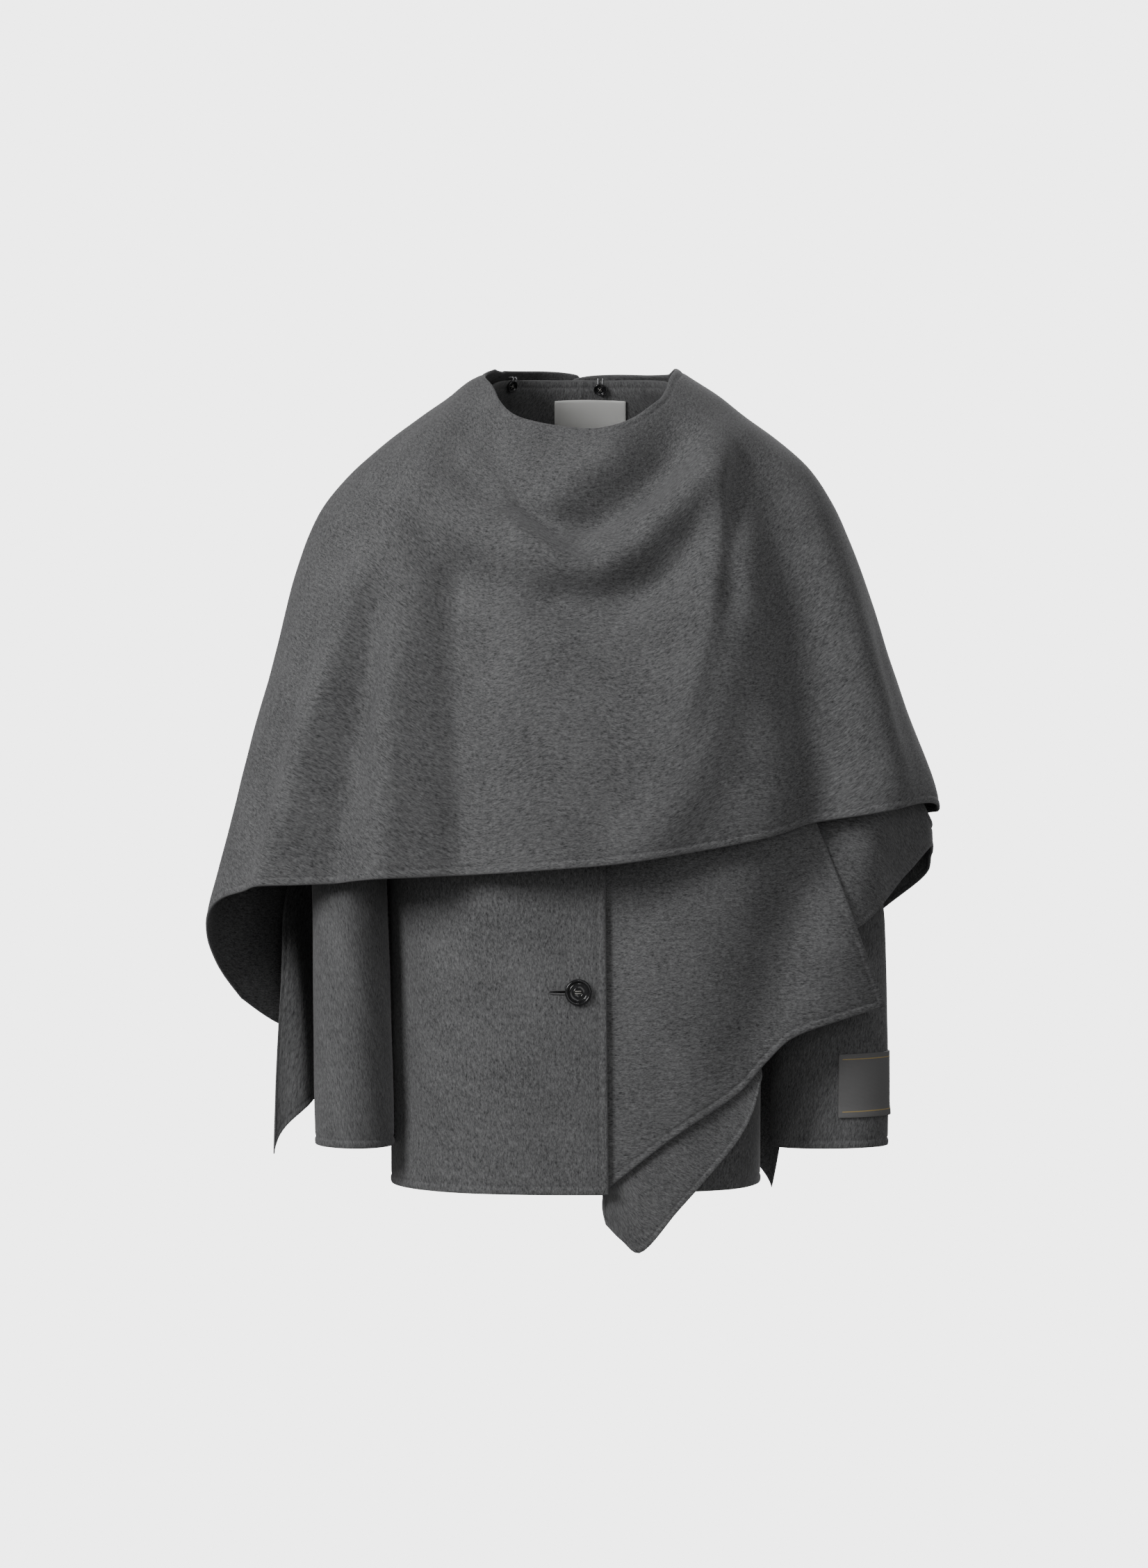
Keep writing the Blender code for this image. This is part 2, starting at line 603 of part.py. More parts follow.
def add_sleeve(name, side, sections, wool, collection):
    """Top and under sleeve, sewn along the arm at the front and the back."""
    outer = sleeve_points(side, sections)
    inner = sleeve_wall(outer)
    first = UNDER_SLEEVE_FIRST if side > 0.0 else UNDER_SLEEVE_FIRST - 1
    last = first + UNDER_SLEEVE_SIDES
    for half, start, finish in (("under", first, last), ("top", last, first + SLEEVE_SIDES)):
        walls = []
        for points in (outer, inner):
            part = [[ring[i % SLEEVE_SIDES].copy() for i in range(start, finish + 1)]
                    for ring in points]
            draw_back_edge(part, 0, 1, SEAM / 2.0 + 0.01)
            draw_back_edge(part, -1, -2, SEAM / 2.0 + 0.01)
            walls.append(part)
        node = name + "_" + half
        link_mesh(node, wall_mesh(node, walls[0], walls[1]), wool, collection)
    return outer


def grid_spot(points, across, down, closed):
    """Point of a faceted panel between its own points, and the outward direction there."""
    count = len(points[0])
    row = min(int(down), len(points) - 2)
    column = math.floor(across)
    if not closed:
        column = min(column, count - 2)
    t = down - row
    s = across - column
    upper_a = points[row][column % count]
    upper_b = points[row][(column + 1) % count]
    lower_a = points[row + 1][column % count]
    lower_b = points[row + 1][(column + 1) % count]
    spot = (upper_a * (1.0 - s) + upper_b * s) * (1.0 - t) + (lower_a * (1.0 - s)
                                                             + lower_b * s) * t
    before = points[row][(column - (1 if s < 0.01 else 0)) % count]
    normal = (lower_a - upper_a).cross(upper_b - before).normalized()
    return spot, normal


def row_at_height(points, across, height, closed):
    """Row number, with its fraction, at which a panel's column is at a height."""
    low = 0.0
    high = float(len(points) - 1)
    for step in range(SEARCH_STEPS):
        middle = (low + high) / 2.0
        if grid_spot(points, across, min(middle, high - 1e-6), closed)[0].z > height:
            low = middle
        else:
            high = middle
    return low


def column_at_x(points, down, x):
    """Column number, with its fraction, at which a back panel's row is at an x."""
    low = 0.0
    high = float(len(points[0]) - 1)
    for step in range(SEARCH_STEPS):
        middle = (low + high) / 2.0
        if grid_spot(points, middle, down, False)[0].x > x:
            low = middle
        else:
            high = middle
    return low


def whole_steps(start, finish):
    """The two ends of a range and each whole number between them."""
    between = [float(k) for k in range(math.ceil(start + 0.1), math.floor(finish - 0.1) + 1)]
    return [start] + between + [finish]


def neck_label_points(back):
    """Rows of the bare label inside the back neck, from the back panel's points, moved in."""
    centre = column_at_x(back, 1.0, NECK_LABEL_MIDDLE)
    top = row_at_height(back, centre, NECK_LABEL_TOP, False)
    bottom = row_at_height(back, centre, NECK_LABEL_TOP - NECK_LABEL_HEIGHT, False)
    columns = 8
    patch = []
    for down in whole_steps(top, bottom):
        row = []
        for i in range(columns + 1):
            x = NECK_LABEL_MIDDLE + NECK_LABEL_WIDTH * (0.5 - i / columns)
            spot, normal = grid_spot(back, column_at_x(back, down, x), down, False)
            row.append(spot - normal * (WALL + 1.5 * SEAM))
        patch.append(row)
    return patch


def sleeve_label_points(sleeve):
    """Rows of the label round the left sleeve's outer side, from its points, moved out."""
    first = SLEEVE_SIDES * (1.0 - 84.0 / 360.0)
    last = SLEEVE_SIDES * (1.0 + 36.0 / 360.0)
    top = row_at_height(sleeve, first, SLEEVE_LABEL_TOP, True)
    bottom = row_at_height(sleeve, first, SLEEVE_LABEL_TOP - SLEEVE_LABEL_HEIGHT, True)
    patch = []
    for down in whole_steps(top, bottom):
        row = []
        for across in whole_steps(first, last):
            spot, normal = grid_spot(sleeve, across, down, True)
            row.append(spot + normal * (LABEL_WALL + 1.5 * SEAM))
        patch.append(row)
    return patch


def turned_button(name, size, shank, place, facing, material, collection):
    """Round button with a rim, a dished face and a thread shank, turned about its axis."""
    radius, thick = size
    shank_radius, shank_length = shank
    profile = ((0.0, thick * 0.62), (radius * 0.72, thick * 0.62), (radius * 0.82, thick),
               (radius * 0.92, thick), (radius, thick * 0.75), (radius, thick * 0.3),
               (radius * 0.9, 0.0), (shank_radius, 0.0), (shank_radius, -shank_length),
               (0.0, -shank_length))
    mesh = bpy.data.meshes.new(name)
    mesh.from_pydata([(x * MM, 0.0, z * MM) for x, z in profile],
                     [(i, i + 1) for i in range(len(profile) - 1)], [])
    button = link_mesh(name, mesh, material, collection)
    button.location = place * MM
    button.rotation_mode = "QUATERNION"
    button.rotation_quaternion = Vector((0.0, 0.0, 1.0)).rotation_difference(facing)
    turning = button.modifiers.new("turning", "SCREW")
    turning.steps = BUTTON_SIDES
    turning.render_steps = BUTTON_SIDES
    turning.use_merge_vertices = True
    turning.merge_threshold = 0.00001
    return button


def add_holes(button, place, facing, spread, radius, depth, collection):
    """Four small holes through a button's disc."""
    turn = Vector((0.0, 0.0, 1.0)).rotation_difference(facing).to_matrix().to_4x4()
    mesh = bpy.data.meshes.new(button.name + "_holes")
    shape = bmesh.new()
    for x, y in ((spread, spread), (-spread, spread), (-spread, -spread), (spread, -spread)):
        spot = Matrix.Translation(Vector((x, y, 0.0)) * MM)
        bmesh.ops.create_cone(shape, cap_ends=True, segments=8, radius1=radius * MM,
                              radius2=radius * MM, depth=depth * MM, matrix=spot)
    bmesh.ops.transform(shape, matrix=Matrix.Translation(place * MM) @ turn, verts=shape.verts)
    shape.to_mesh(mesh)
    shape.free()
    cutter = bpy.data.objects.new(button.name + "_holes", mesh)
    collection.objects.link(cutter)
    hide_helper(cutter)
    add_cut(button, cutter)


def add_front_button(horn, collection, cutters):
    """Front button on the left front, whose shank comes through the buttonhole."""
    face = body_point(0.0, BUTTON_HEIGHT, 0.0)
    under = body_point(0.0, BUTTON_HEIGHT, UNDERLAP_STEP)
    place = Vector((0.0, face.y - SEAM - 0.1, BUTTON_HEIGHT))
    facing = Vector((0.0, -1.0, 0.0))
    shank = under.y - place.y - SEAM
    button = turned_button("button_front", (BUTTON_RADIUS, BUTTON_THICK),
                           (SHANK_RADIUS, shank), place, facing, horn, collection)
    add_holes(button, place, facing, 2.6, 1.0, 4.0 * BUTTON_THICK, cutters)


def add_buttonhole_cutter(collection):
    """Slot in the right front, from the button's shank towards the wearer's right."""
    mesh = bpy.data.meshes.new("buttonhole_cutter")
    shape = bmesh.new()
    bmesh.ops.create_cube(shape, size=1.0)
    size = Matrix.Diagonal((BUTTONHOLE_LENGTH * MM, 12.0 * MM, BUTTONHOLE_GAP * MM, 1.0))
    middle_x = SHANK_RADIUS + 1.0 - BUTTONHOLE_LENGTH / 2.0
    face = body_point(0.0, BUTTON_HEIGHT, 0.0)
    place = Matrix.Translation(Vector((middle_x, face.y, BUTTON_HEIGHT)) * MM)
    bmesh.ops.transform(shape, matrix=place @ size, verts=shape.verts)
    shape.to_mesh(mesh)
    shape.free()
    cutter = bpy.data.objects.new("buttonhole_cutter", mesh)
    collection.objects.link(cutter)
    hide_helper(cutter)
    return cutter


def back_face_spot(points, x, height):
    """Point of a faceted back panel at an x and a height, and the outward direction."""
    down = 0.5
    for settle in range(4):
        across = column_at_x(points, down, x)
        down = row_at_height(points, across, height, False)
    return grid_spot(points, across, down, False)


def add_neck_fastenings(back, scarf_faces, horn, elastic, collection):
    """Two small buttons inside the back neck, each held by a loop from the scarf's edge."""
    for side, x, height, scarf_name in NECK_BUTTONS:
        spot, outward = back_face_spot(back, x, height)
        facing = -outward
        seat = spot + facing * (WALL + 0.1)
        place = seat + facing * NECK_BUTTON_LIFT
        turned_button("neck_button_" + side, (NECK_BUTTON_RADIUS, NECK_BUTTON_THICK),
                      (0.9, NECK_BUTTON_LIFT - 1.5 * SEAM), place, facing, horn, collection)
        edge, edge_outward = back_face_spot(scarf_faces[scarf_name], x, LOOP_TOP)
        start = edge - edge_outward * (WALL + LOOP_RADIUS + 2.5 * SEAM)
        add_neck_loop("neck_loop_" + side, start, seat, facing, elastic, collection)


def add_neck_loop(name, start, seat, facing, material, collection):
    """Round elastic from the scarf's top edge, over the collar, round the button's shank."""
    across = facing.cross(Vector((0.0, 0.0, 1.0))).normalized()
    up = across.cross(facing)
    start_inward = (start - seat).dot(facing)
    start_rise = (start - seat).dot(up)
    shank_turn = LOOP_RADIUS + 1.3
    inward = LOOP_RADIUS + 0.5
    # Steps of one strand: share of the way in, height above the button, half spread.
    strand = ((0.0, start_rise, 2.4), (0.5, 9.6, 2.3), (0.86, 9.2, 2.2),
              (1.0, 6.6, 2.1), (1.0, 2.2, shank_turn))
    path = []
    for share, rise, spread in strand:
        path.append((start_inward + (inward - start_inward) * share, rise, spread))
    for step in range(1, 6):
        turn = math.pi * step / 6.0
        path.append((inward, -shank_turn * math.sin(turn), shank_turn * math.cos(turn)))
    for share, rise, spread in strand[::-1]:
        path.append((start_inward + (inward - start_inward) * share, rise, -spread))
    curve = bpy.data.curves.new(name, "CURVE")
    curve.dimensions = "3D"
    spline = curve.splines.new("POLY")
    spline.points.add(len(path) - 1)
    for spot, (reach, rise, spread) in zip(spline.points, path):
        point = seat + facing * reach + across * spread + up * rise
        spot.co = (point.x * MM, point.y * MM, point.z * MM, 1.0)
    curve.bevel_depth = LOOP_RADIUS * MM
    curve.bevel_resolution = 1
    curve.use_fill_caps = True
    loop = bpy.data.objects.new(name, curve)
    curve.materials.append(material)
    collection.objects.link(loop)


def add_back(outer, inner, wool, collection, armholes):
    """Left and right back, sewn down the middle."""
    middle = BACK_COLUMNS // 2
    halves = (("coat_back_left", 0, middle, armholes[1]),
              ("coat_back_right", middle, BACK_COLUMNS, armholes[0]))
    for name, start, finish, armhole in halves:
        walls = []
        for points in (outer, inner):
            part = [[point.copy() for point in row[start:finish + 1]] for row in points]
            edge, neighbour = (-1, -2) if start == 0 else (0, 1)
            draw_back_edge(part, edge, neighbour, SEAM / 2.0 + 0.01)
            walls.append(part)
        half = link_mesh(name, wall_mesh(name, walls[0], walls[1]), wool, collection)
        add_cut(half, armhole)


def build_coat(wool, collection, cutters):
    """Back, two fronts and two sleeves."""
    armholes = add_armhole_cutters(cutters)
    half_seam = SEAM / 2.0 + 0.02

    def level(angle):
        return lambda height: angle

    def free_edge(height):
        x = OPENING_LEFT_EDGE - OPENING_LEAN * (height - HEM_HEIGHT)
        return 360.0 + front_angle(x, height)

    def under_edge(height):
        return front_angle(OPENING_LEFT_EDGE - UNDERLAP, height)

    plans = (
        ("coat_back", level(90.0), level(270.0), BACK_COLUMNS, lambda angle: 0.0, half_seam,
         half_seam),
        ("coat_front_right", level(270.0), free_edge, 10, lambda angle: 0.0, -half_seam, 0.0),
        ("coat_front_left", under_edge, level(90.0), 11, left_front_inset, 0.0, -half_seam),
    )
    panels = []
    outer_faces = {}
    for name, start_at, finish_at, columns, inset_at, first_shift, last_shift in plans:
        outer = body_panel_points(start_at, finish_at, columns, inset_at, 0.0)
        inner = body_panel_points(start_at, finish_at, columns, inset_at, WALL)
        part_at_side_seams(outer, first_shift, last_shift)
        part_at_side_seams(inner, first_shift, last_shift)
        outer_faces[name] = outer
        if name == "coat_back":
            add_back(outer, inner, wool, collection, armholes)
        else:
            panels.append(link_mesh(name, wall_mesh(name, outer, inner), wool, collection))
    for front, armhole in zip(panels, armholes):
        add_cut(front, armhole)
    add_cut(panels[0], add_buttonhole_cutter(cutters))

    for name, side, sections in (("sleeve_right", -1.0, SLEEVE_RIGHT),
                                 ("sleeve_left", 1.0, SLEEVE_LEFT)):
        outer_faces[name] = add_sleeve(name, side, sections, wool, collection)
    return outer_faces


def build_scarf(wool, collection):
    """The wound scarf, a piece for each stretch that shows."""
    stretches = (
        ("scarf_front", SCARF_FRONT_TOP, SCARF_FRONT_HEM, 42, SCARF_ROWS, scarf_front_inset,
         0.0),
        ("scarf_back", SCARF_BACK_TOP, SCARF_BACK_HEM, 20, SCARF_ROWS, scarf_back_inset, 0.0),
        ("scarf_left_arm", SCARF_ARM_TOP, SCARF_ARM_HEM, 10, 8, scarf_arm_inset, 0.0),
        ("scarf_end_back", END_BACK_TOP, END_BACK_HEM, 20, SCARF_ROWS, end_back_inset,
         END_BACK_ARCH),
    )
    outer_faces = {}
    for name, top, hem, columns, rows, inset, arch in stretches:
        outer = ruled_points(top, hem, columns, rows, inset, arch, 0.0)
        inner = ruled_points(top, hem, columns, rows, inset, arch, WALL)
        for points in (outer, inner):
            draw_back_edge(points, 0, 1, SEAM / 2.0 + 0.01)
            draw_back_edge(points, -1, -2, SEAM / 2.0 + 0.01)
        outer_faces[name] = outer
        link_mesh(name, wall_mesh(name, outer, inner), wool, collection)
    points = [row[::-1] for row in end_front_points(10, 4, 8, 11)]
    piece = link_mesh("scarf_end_front", grid_mesh("scarf_end_front", points), wool,
                      collection)
    add_wall(piece, WALL)
    return outer_faces


def build_labels(coat_faces, white, grey, collection):
    """Bare woven label in the back neck and the patch label on the left sleeve."""
    for name, points, material in (
            ("neck_label", neck_label_points(coat_faces["coat_back"]), white),
            ("sleeve_label", sleeve_label_points(coat_faces["sleeve_left"]), grey)):
        piece = link_mesh(name, grid_mesh(name, points), material, collection)
        add_wall(piece, LABEL_WALL)


def main():
    """Build every piece of the garment."""
    clear_scene()
    garment = bpy.data.collections.new("wool_coat_with_scarf")
    cutters = bpy.data.collections.new("cutters")
    bpy.context.scene.collection.children.link(garment)
    bpy.context.scene.collection.children.link(cutters)
    wool = add_material("wool", WOOL_COLOUR, 0.92)
    scarf_wool = add_material("scarf_wool", WOOL_SHADE, 0.92)
    horn = add_material("black_horn", BLACK_HORN, 0.25)
    elastic = add_material("elastic", ELASTIC_GREY, 0.5)
    white = add_material("label_white", LABEL_WHITE, 0.6)
    grey = add_material("label_grey", LABEL_GREY, 0.5)
    coat_faces = build_coat(wool, garment, cutters)
    scarf_faces = build_scarf(scarf_wool, garment)
    build_labels(coat_faces, white, grey, garment)
    add_front_button(horn, garment, cutters)
    add_neck_fastenings(coat_faces["coat_back"], scarf_faces, horn, elastic, garment)


main()
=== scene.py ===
"""Looks of the wool coat with its wound scarf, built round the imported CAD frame.

Every cloth piece here is a thin shell on much the same rings and edges as its CAD solid, with
deeper and finer folds, turned hems and a melange wool finish. Sizes are in millimetres until a mesh is made.
+Z is up, -Y is the front and +X is the wearer's left. A place on the mantle or on the body is
an angle round the vertical axis (0 front, 90 left, 180 back, 270 right) and a height.
"""
import json
import math

import bmesh
import bpy
import numpy as np
from mathutils import Matrix, Vector

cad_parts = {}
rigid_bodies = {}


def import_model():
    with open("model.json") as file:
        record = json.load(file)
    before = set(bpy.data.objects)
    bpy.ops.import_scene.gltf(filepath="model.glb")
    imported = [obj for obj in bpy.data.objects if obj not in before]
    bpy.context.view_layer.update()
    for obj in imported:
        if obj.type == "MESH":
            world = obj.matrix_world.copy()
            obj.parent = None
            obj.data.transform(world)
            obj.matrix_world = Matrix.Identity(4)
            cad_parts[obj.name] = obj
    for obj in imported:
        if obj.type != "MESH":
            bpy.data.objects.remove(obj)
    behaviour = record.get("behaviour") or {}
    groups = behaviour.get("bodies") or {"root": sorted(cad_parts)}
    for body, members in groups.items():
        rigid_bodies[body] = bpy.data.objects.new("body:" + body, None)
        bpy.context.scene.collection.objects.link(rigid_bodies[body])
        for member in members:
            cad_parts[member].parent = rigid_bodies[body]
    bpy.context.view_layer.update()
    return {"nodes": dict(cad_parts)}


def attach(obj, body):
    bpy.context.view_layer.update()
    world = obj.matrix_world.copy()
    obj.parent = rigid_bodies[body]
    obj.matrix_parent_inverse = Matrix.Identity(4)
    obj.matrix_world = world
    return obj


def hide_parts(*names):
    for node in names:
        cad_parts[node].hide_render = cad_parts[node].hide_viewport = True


MM = 0.001

WALL = 2.2                 # thickness of the double-faced wool
SEAM = 0.3                 # clearance between pieces that are sewn or touch

HEM_HEIGHT = -708.0        # bottom of the body
OPENING_LEFT_EDGE = 26.0   # free edge of the right front at the hem, past the centre line
OPENING_LEAN = 0.01        # how far that edge comes back for each millimetre above the hem
UNDERLAP = 62.0            # how far the left front reaches under it
UNDERLAP_STEP = 15.5       # how far the left front lies behind the right one there

ARMHOLE_MIDDLE = -150.0
ARMHOLE_HALF_DEPTH = 64.0
ARMHOLE_HALF_HEIGHT = 98.0
ARMHOLE_CUTTER_X = 190.0
ARMHOLE_CUTTER_LENGTH = 120.0
LAYER_STEP = 5.2           # how far a scarf layer lies inside the one over it
SEARCH_STEPS = 40          # halvings that find a place on a faceted panel

BUTTON_RADIUS = 11.8
BUTTON_THICK = 4.2
BUTTON_HEIGHT = -529.0
BUTTONHOLE_LENGTH = 27.0
SHANK_RADIUS = 1.3
NECK_BUTTON_RADIUS = 5.9
NECK_BUTTON_THICK = 2.4
NECK_BUTTON_LIFT = 2.2     # room for the elastic loop between a neck button and the collar

# Neck buttons: side, x, height and the scarf stretch that the loop hangs from.
NECK_BUTTONS = (("right", -65.0, 27.5, "scarf_back"), ("left", 21.0, 26.5, "scarf_end_back"))

NECK_LABEL_MIDDLE = 11.5
NECK_LABEL_WIDTH = 67.0
NECK_LABEL_HEIGHT = 46.0
NECK_LABEL_TOP = 15.5
SLEEVE_LABEL_HEIGHT = 57.0
SLEEVE_LABEL_TOP = -590.0
LABEL_WALL = 1.0
LABEL_LINE_WIDTH = 0.0009  # metres, like the next two rows
LABEL_LINE_DROPS = (0.0045, 0.052)
LABEL_LINE_START = 0.0033
CENTRE_SEAM = 0.6          # depth of the groove along the centre-back seam

# Rings of the mantle: height, right and left half widths, front and back depths, squareness.
MANTLE_RINGS = (
    (48.0, -58.0, 72.0, -46.0, 60.0, 2.0),
    (37.0, -79.0, 91.0, -58.0, 68.0, 2.0),
    (26.0, -102.0, 108.0, -68.0, 76.0, 2.0),
    (10.0, -121.0, 132.0, -81.0, 88.0, 2.0),
    (-6.0, -143.0, 153.0, -91.0, 97.0, 2.05),
    (-27.0, -172.0, 181.0, -105.0, 108.0, 2.1),
    (-54.0, -204.0, 212.0, -120.0, 117.0, 2.2),
    (-86.0, -231.0, 234.0, -133.0, 124.0, 2.25),
    (-118.0, -247.0, 248.0, -143.0, 129.0, 2.3),
    (-166.0, -264.0, 266.0, -153.0, 133.0, 2.3),
    (-230.0, -280.0, 287.0, -161.0, 137.0, 2.25),
    (-294.0, -298.0, 309.0, -166.0, 139.0, 2.2),
    (-358.0, -314.0, 332.0, -169.0, 141.0, 2.15),
    (-422.0, -331.0, 335.0, -169.0, 142.0, 2.1),
    (-475.0, -342.0, 332.0, -167.0, 142.0, 2.1),
    (-560.0, -338.0, 328.0, -161.0, 143.0, 2.1),
    (-700.0, -332.0, 322.0, -154.0, 144.0, 2.1),
    (-790.0, -330.0, 320.0, -152.0, 145.0, 2.1),
)

# Rings of the coat body, in the same columns.
BODY_RINGS = (
    (45.0, -70.0, 77.0, -52.0, 52.0, 2.3),
    (33.0, -76.0, 83.0, -60.0, 56.0, 2.3),
    (20.0, -84.0, 90.0, -68.0, 62.0, 2.3),
    (0.0, -113.0, 118.0, -74.0, 76.0, 2.3),
    (-25.0, -150.0, 152.0, -82.0, 92.0, 2.4),
    (-50.0, -177.0, 177.0, -92.0, 104.0, 2.5),
    (-90.0, -180.0, 180.0, -104.0, 112.0, 2.6),
    (-160.0, -178.0, 178.0, -117.0, 118.0, 2.6),
    (-250.0, -175.0, 175.0, -129.0, 120.0, 2.5),
    (-420.0, -173.0, 170.0, -138.0, 122.0, 2.4),
    (-600.0, -172.0, 168.0, -138.0, 124.0, 2.4),
    (-720.0, -172.0, 167.0, -138.0, 125.0, 2.4),
)

# Height of the coat's neck edge by angle.
NECK_EDGE = ((-180.0, 33.0), (-120.0, 30.0), (-90.0, 20.0), (-45.0, -22.0), (0.0, -52.0),
             (45.0, -22.0), (90.0, 20.0), (120.0, 30.0), (180.0, 33.0))

# Main folds of the mantle, some deeper than the CAD's: start and end angle and height, the
# sideways and downward sag of the middle, half width and depth. A positive depth stands out
# and a negative one is a trough.
MANTLE_FOLDS = (
    ("throat crease", -40.0, -20.0, 12.0, -128.0, 0.0, -16.0, 13.0, -12.0),
    ("throat ridge", -55.0, -5.0, 2.0, -150.0, 0.0, -26.0, 22.0, 11.0),
    ("throat ridge left", 2.0, -152.0, 40.0, -8.0, 0.0, -10.0, 18.0, 11.0),
    ("throat wedge", 0.0, -112.0, 36.0, -16.0, 0.0, 2.0, 19.0, -12.0),
    ("second trough", -33.0, -120.0, 0.0, -182.0, 0.0, -14.0, 17.0, -10.0),
    ("second trough left", 0.0, -182.0, 28.0, -105.0, 0.0, -20.0, 17.0, -11.0),
    ("breast swell", -4.0, -200.0, -6.0, -600.0, 0.0, 0.0, 62.0, 11.0),
    ("left breast ridge", 35.0, -50.0, 2.0, -470.0, 2.0, 0.0, 26.0, 13.0),
    ("left breast trough", 44.0, -60.0, 24.0, -640.0, 6.0, 0.0, 32.0, -25.0),
    ("left arm roll", 60.0, -110.0, 50.0, -480.0, 3.0, 0.0, 34.0, 12.0),
    ("right arm ridge", -42.0, -120.0, -59.0, -640.0, -4.0, 0.0, 22.0, 13.0),
    ("right arm trough", -35.0, -130.0, -38.0, -640.0, -5.0, 0.0, 20.0, -16.0),
    ("right breast ridge", -37.0, -80.0, -26.0, -640.0, 0.0, 0.0, 18.0, 14.0),
    ("right breast trough", -22.0, -110.0, -14.0, -640.0, 0.0, 0.0, 22.0, -17.0),
    ("back swag one", 130.0, -330.0, 210.0, -90.0, 0.0, -70.0, 22.0, 9.0),
    ("back swag two", 120.0, -350.0, 215.0, -250.0, 0.0, -80.0, 26.0, -9.0),
    ("back swag three", 115.0, -365.0, 225.0, -400.0, 0.0, -70.0, 30.0, 9.0),
    ("right back fold", 248.0, -250.0, 243.0, -520.0, 3.0, 0.0, 30.0, -9.0),
    ("right back ridge", 230.0, -300.0, 226.0, -560.0, 3.0, 0.0, 28.0, 8.0),
)

# Edges of each scarf stretch: share of the way along, angle and height.
SCARF_FRONT_TOP = ((0.0, -112.0, 38.5), (0.13, -90.0, 38.0), (0.28, -64.0, 29.0),
                   (0.36, -47.0, 19.0), (0.42, -34.0, 2.0), (0.49, -19.0, -16.0),
                   (0.576, 0.0, -27.0), (0.62, 9.0, -24.0), (0.677, 22.0, -9.0),
                   (0.746, 37.0, 12.0), (0.81, 51.0, 26.0), (0.9, 71.0, 35.0),
                   (1.0, 92.0, 38.0))
SCARF_FRONT_HEM = ((0.0, -112.0, -545.0), (0.06, -101.0, -512.0), (0.13, -90.0, -478.0),
                   (0.2, -81.0, -455.0), (0.28, -64.0, -441.0), (0.38, -42.5, -432.0),
                   (0.576, 0.0, -417.0), (0.7, 27.0, -393.0), (0.762, 40.5, -378.0),
                   (0.85, 59.7, -364.0), (0.91, 74.0, -361.0), (1.0, 92.0, -369.0))
SCARF_BACK_TOP = ((0.0, 97.0, -380.0), (0.06, 103.0, -376.0), (0.2, 118.0, -280.0),
                  (0.4, 142.0, -120.0), (0.6, 168.0, 0.0), (0.71, 185.0, 39.0),
                  (0.84, 212.0, 41.5), (1.0, 248.0, 38.5))
SCARF_BACK_HEM = ((0.0, 97.0, -410.0), (0.06, 103.0, -424.0), (0.2, 121.0, -462.0),
                  (0.4, 148.0, -545.0), (0.6, 178.0, -598.0), (0.78, 208.0, -603.0),
                  (0.9, 232.0, -576.0), (1.0, 248.0, -545.0))
SCARF_ARM_TOP = ((0.0, 26.0, -270.0), (0.3, 48.0, -285.0), (0.6, 70.0, -325.0),
                 (0.85, 88.0, -374.0), (1.0, 97.0, -380.0))
SCARF_ARM_HEM = ((0.0, 30.0, -505.0), (0.3, 50.0, -478.0), (0.6, 71.0, -428.0),
                 (0.85, 88.0, -401.0), (1.0, 97.0, -410.0))
END_BACK_TOP = ((0.0, 92.0, 38.0), (0.15, 125.0, 40.0), (0.3, 160.0, 41.5), (0.4, 188.0, 38.0),
                (0.5, 210.0, -40.0), (0.65, 226.0, -190.0), (0.8, 235.0, -400.0),
                (1.0, 243.5, -690.0))
END_BACK_HEM = ((0.0, 92.0, -369.0), (0.15, 101.0, -371.0), (0.3, 111.0, -392.0),
                (0.5, 124.0, -455.0), (0.75, 139.0, -590.0), (1.0, 145.0, -727.0))

TAIL_ROLL = 15.0           # how far the hanging corner bulges forward along its middle
END_BACK_ARCH = 108.0      # rise of the short edge between its two hanging corners

# Free end at the left front, folded back on itself: share, top x and z, bottom x and z.
END_FRONT_FACE = ((0.0, 194.0, -330.0, 277.0, -545.0), (0.2, 170.0, -328.0, 238.0, -555.0),
                  (0.4, 140.0, -326.0, 191.0, -571.0), (0.52, 115.0, -325.0, 167.0, -593.0),
                  (0.65, 90.0, -325.0, 142.0, -620.0), (0.85, 50.0, -325.0, 80.0, -661.0),
                  (1.0, 24.0, -326.0, 26.0, -703.0))
END_FRONT_FLAP = ((0.0, 24.0, -345.0, 24.0, -735.0), (0.12, 38.0, -400.0, 38.0, -749.0),
                  (0.25, 55.0, -425.0, 56.0, -760.0), (0.42, 80.0, -440.0, 88.0, -724.0),
                  (0.6, 105.0, -450.0, 115.0, -694.0), (0.8, 128.0, -460.0, 142.0, -662.0),
                  (0.92, 142.0, -470.0, 156.0, -636.0), (1.0, 150.0, -480.0, 164.0, -606.0))
END_FRONT_TUCK = 22.0      # x of the fold, hidden behind the right front's edge
END_FRONT_TUCK_DEPTH = -131.9
END_FRONT_TUCK_WIDTH = 110.0
END_FRONT_FOLD_RADIUS = 3.6
END_FRONT_GAP = 12.0       # how far it hangs behind the front stretch

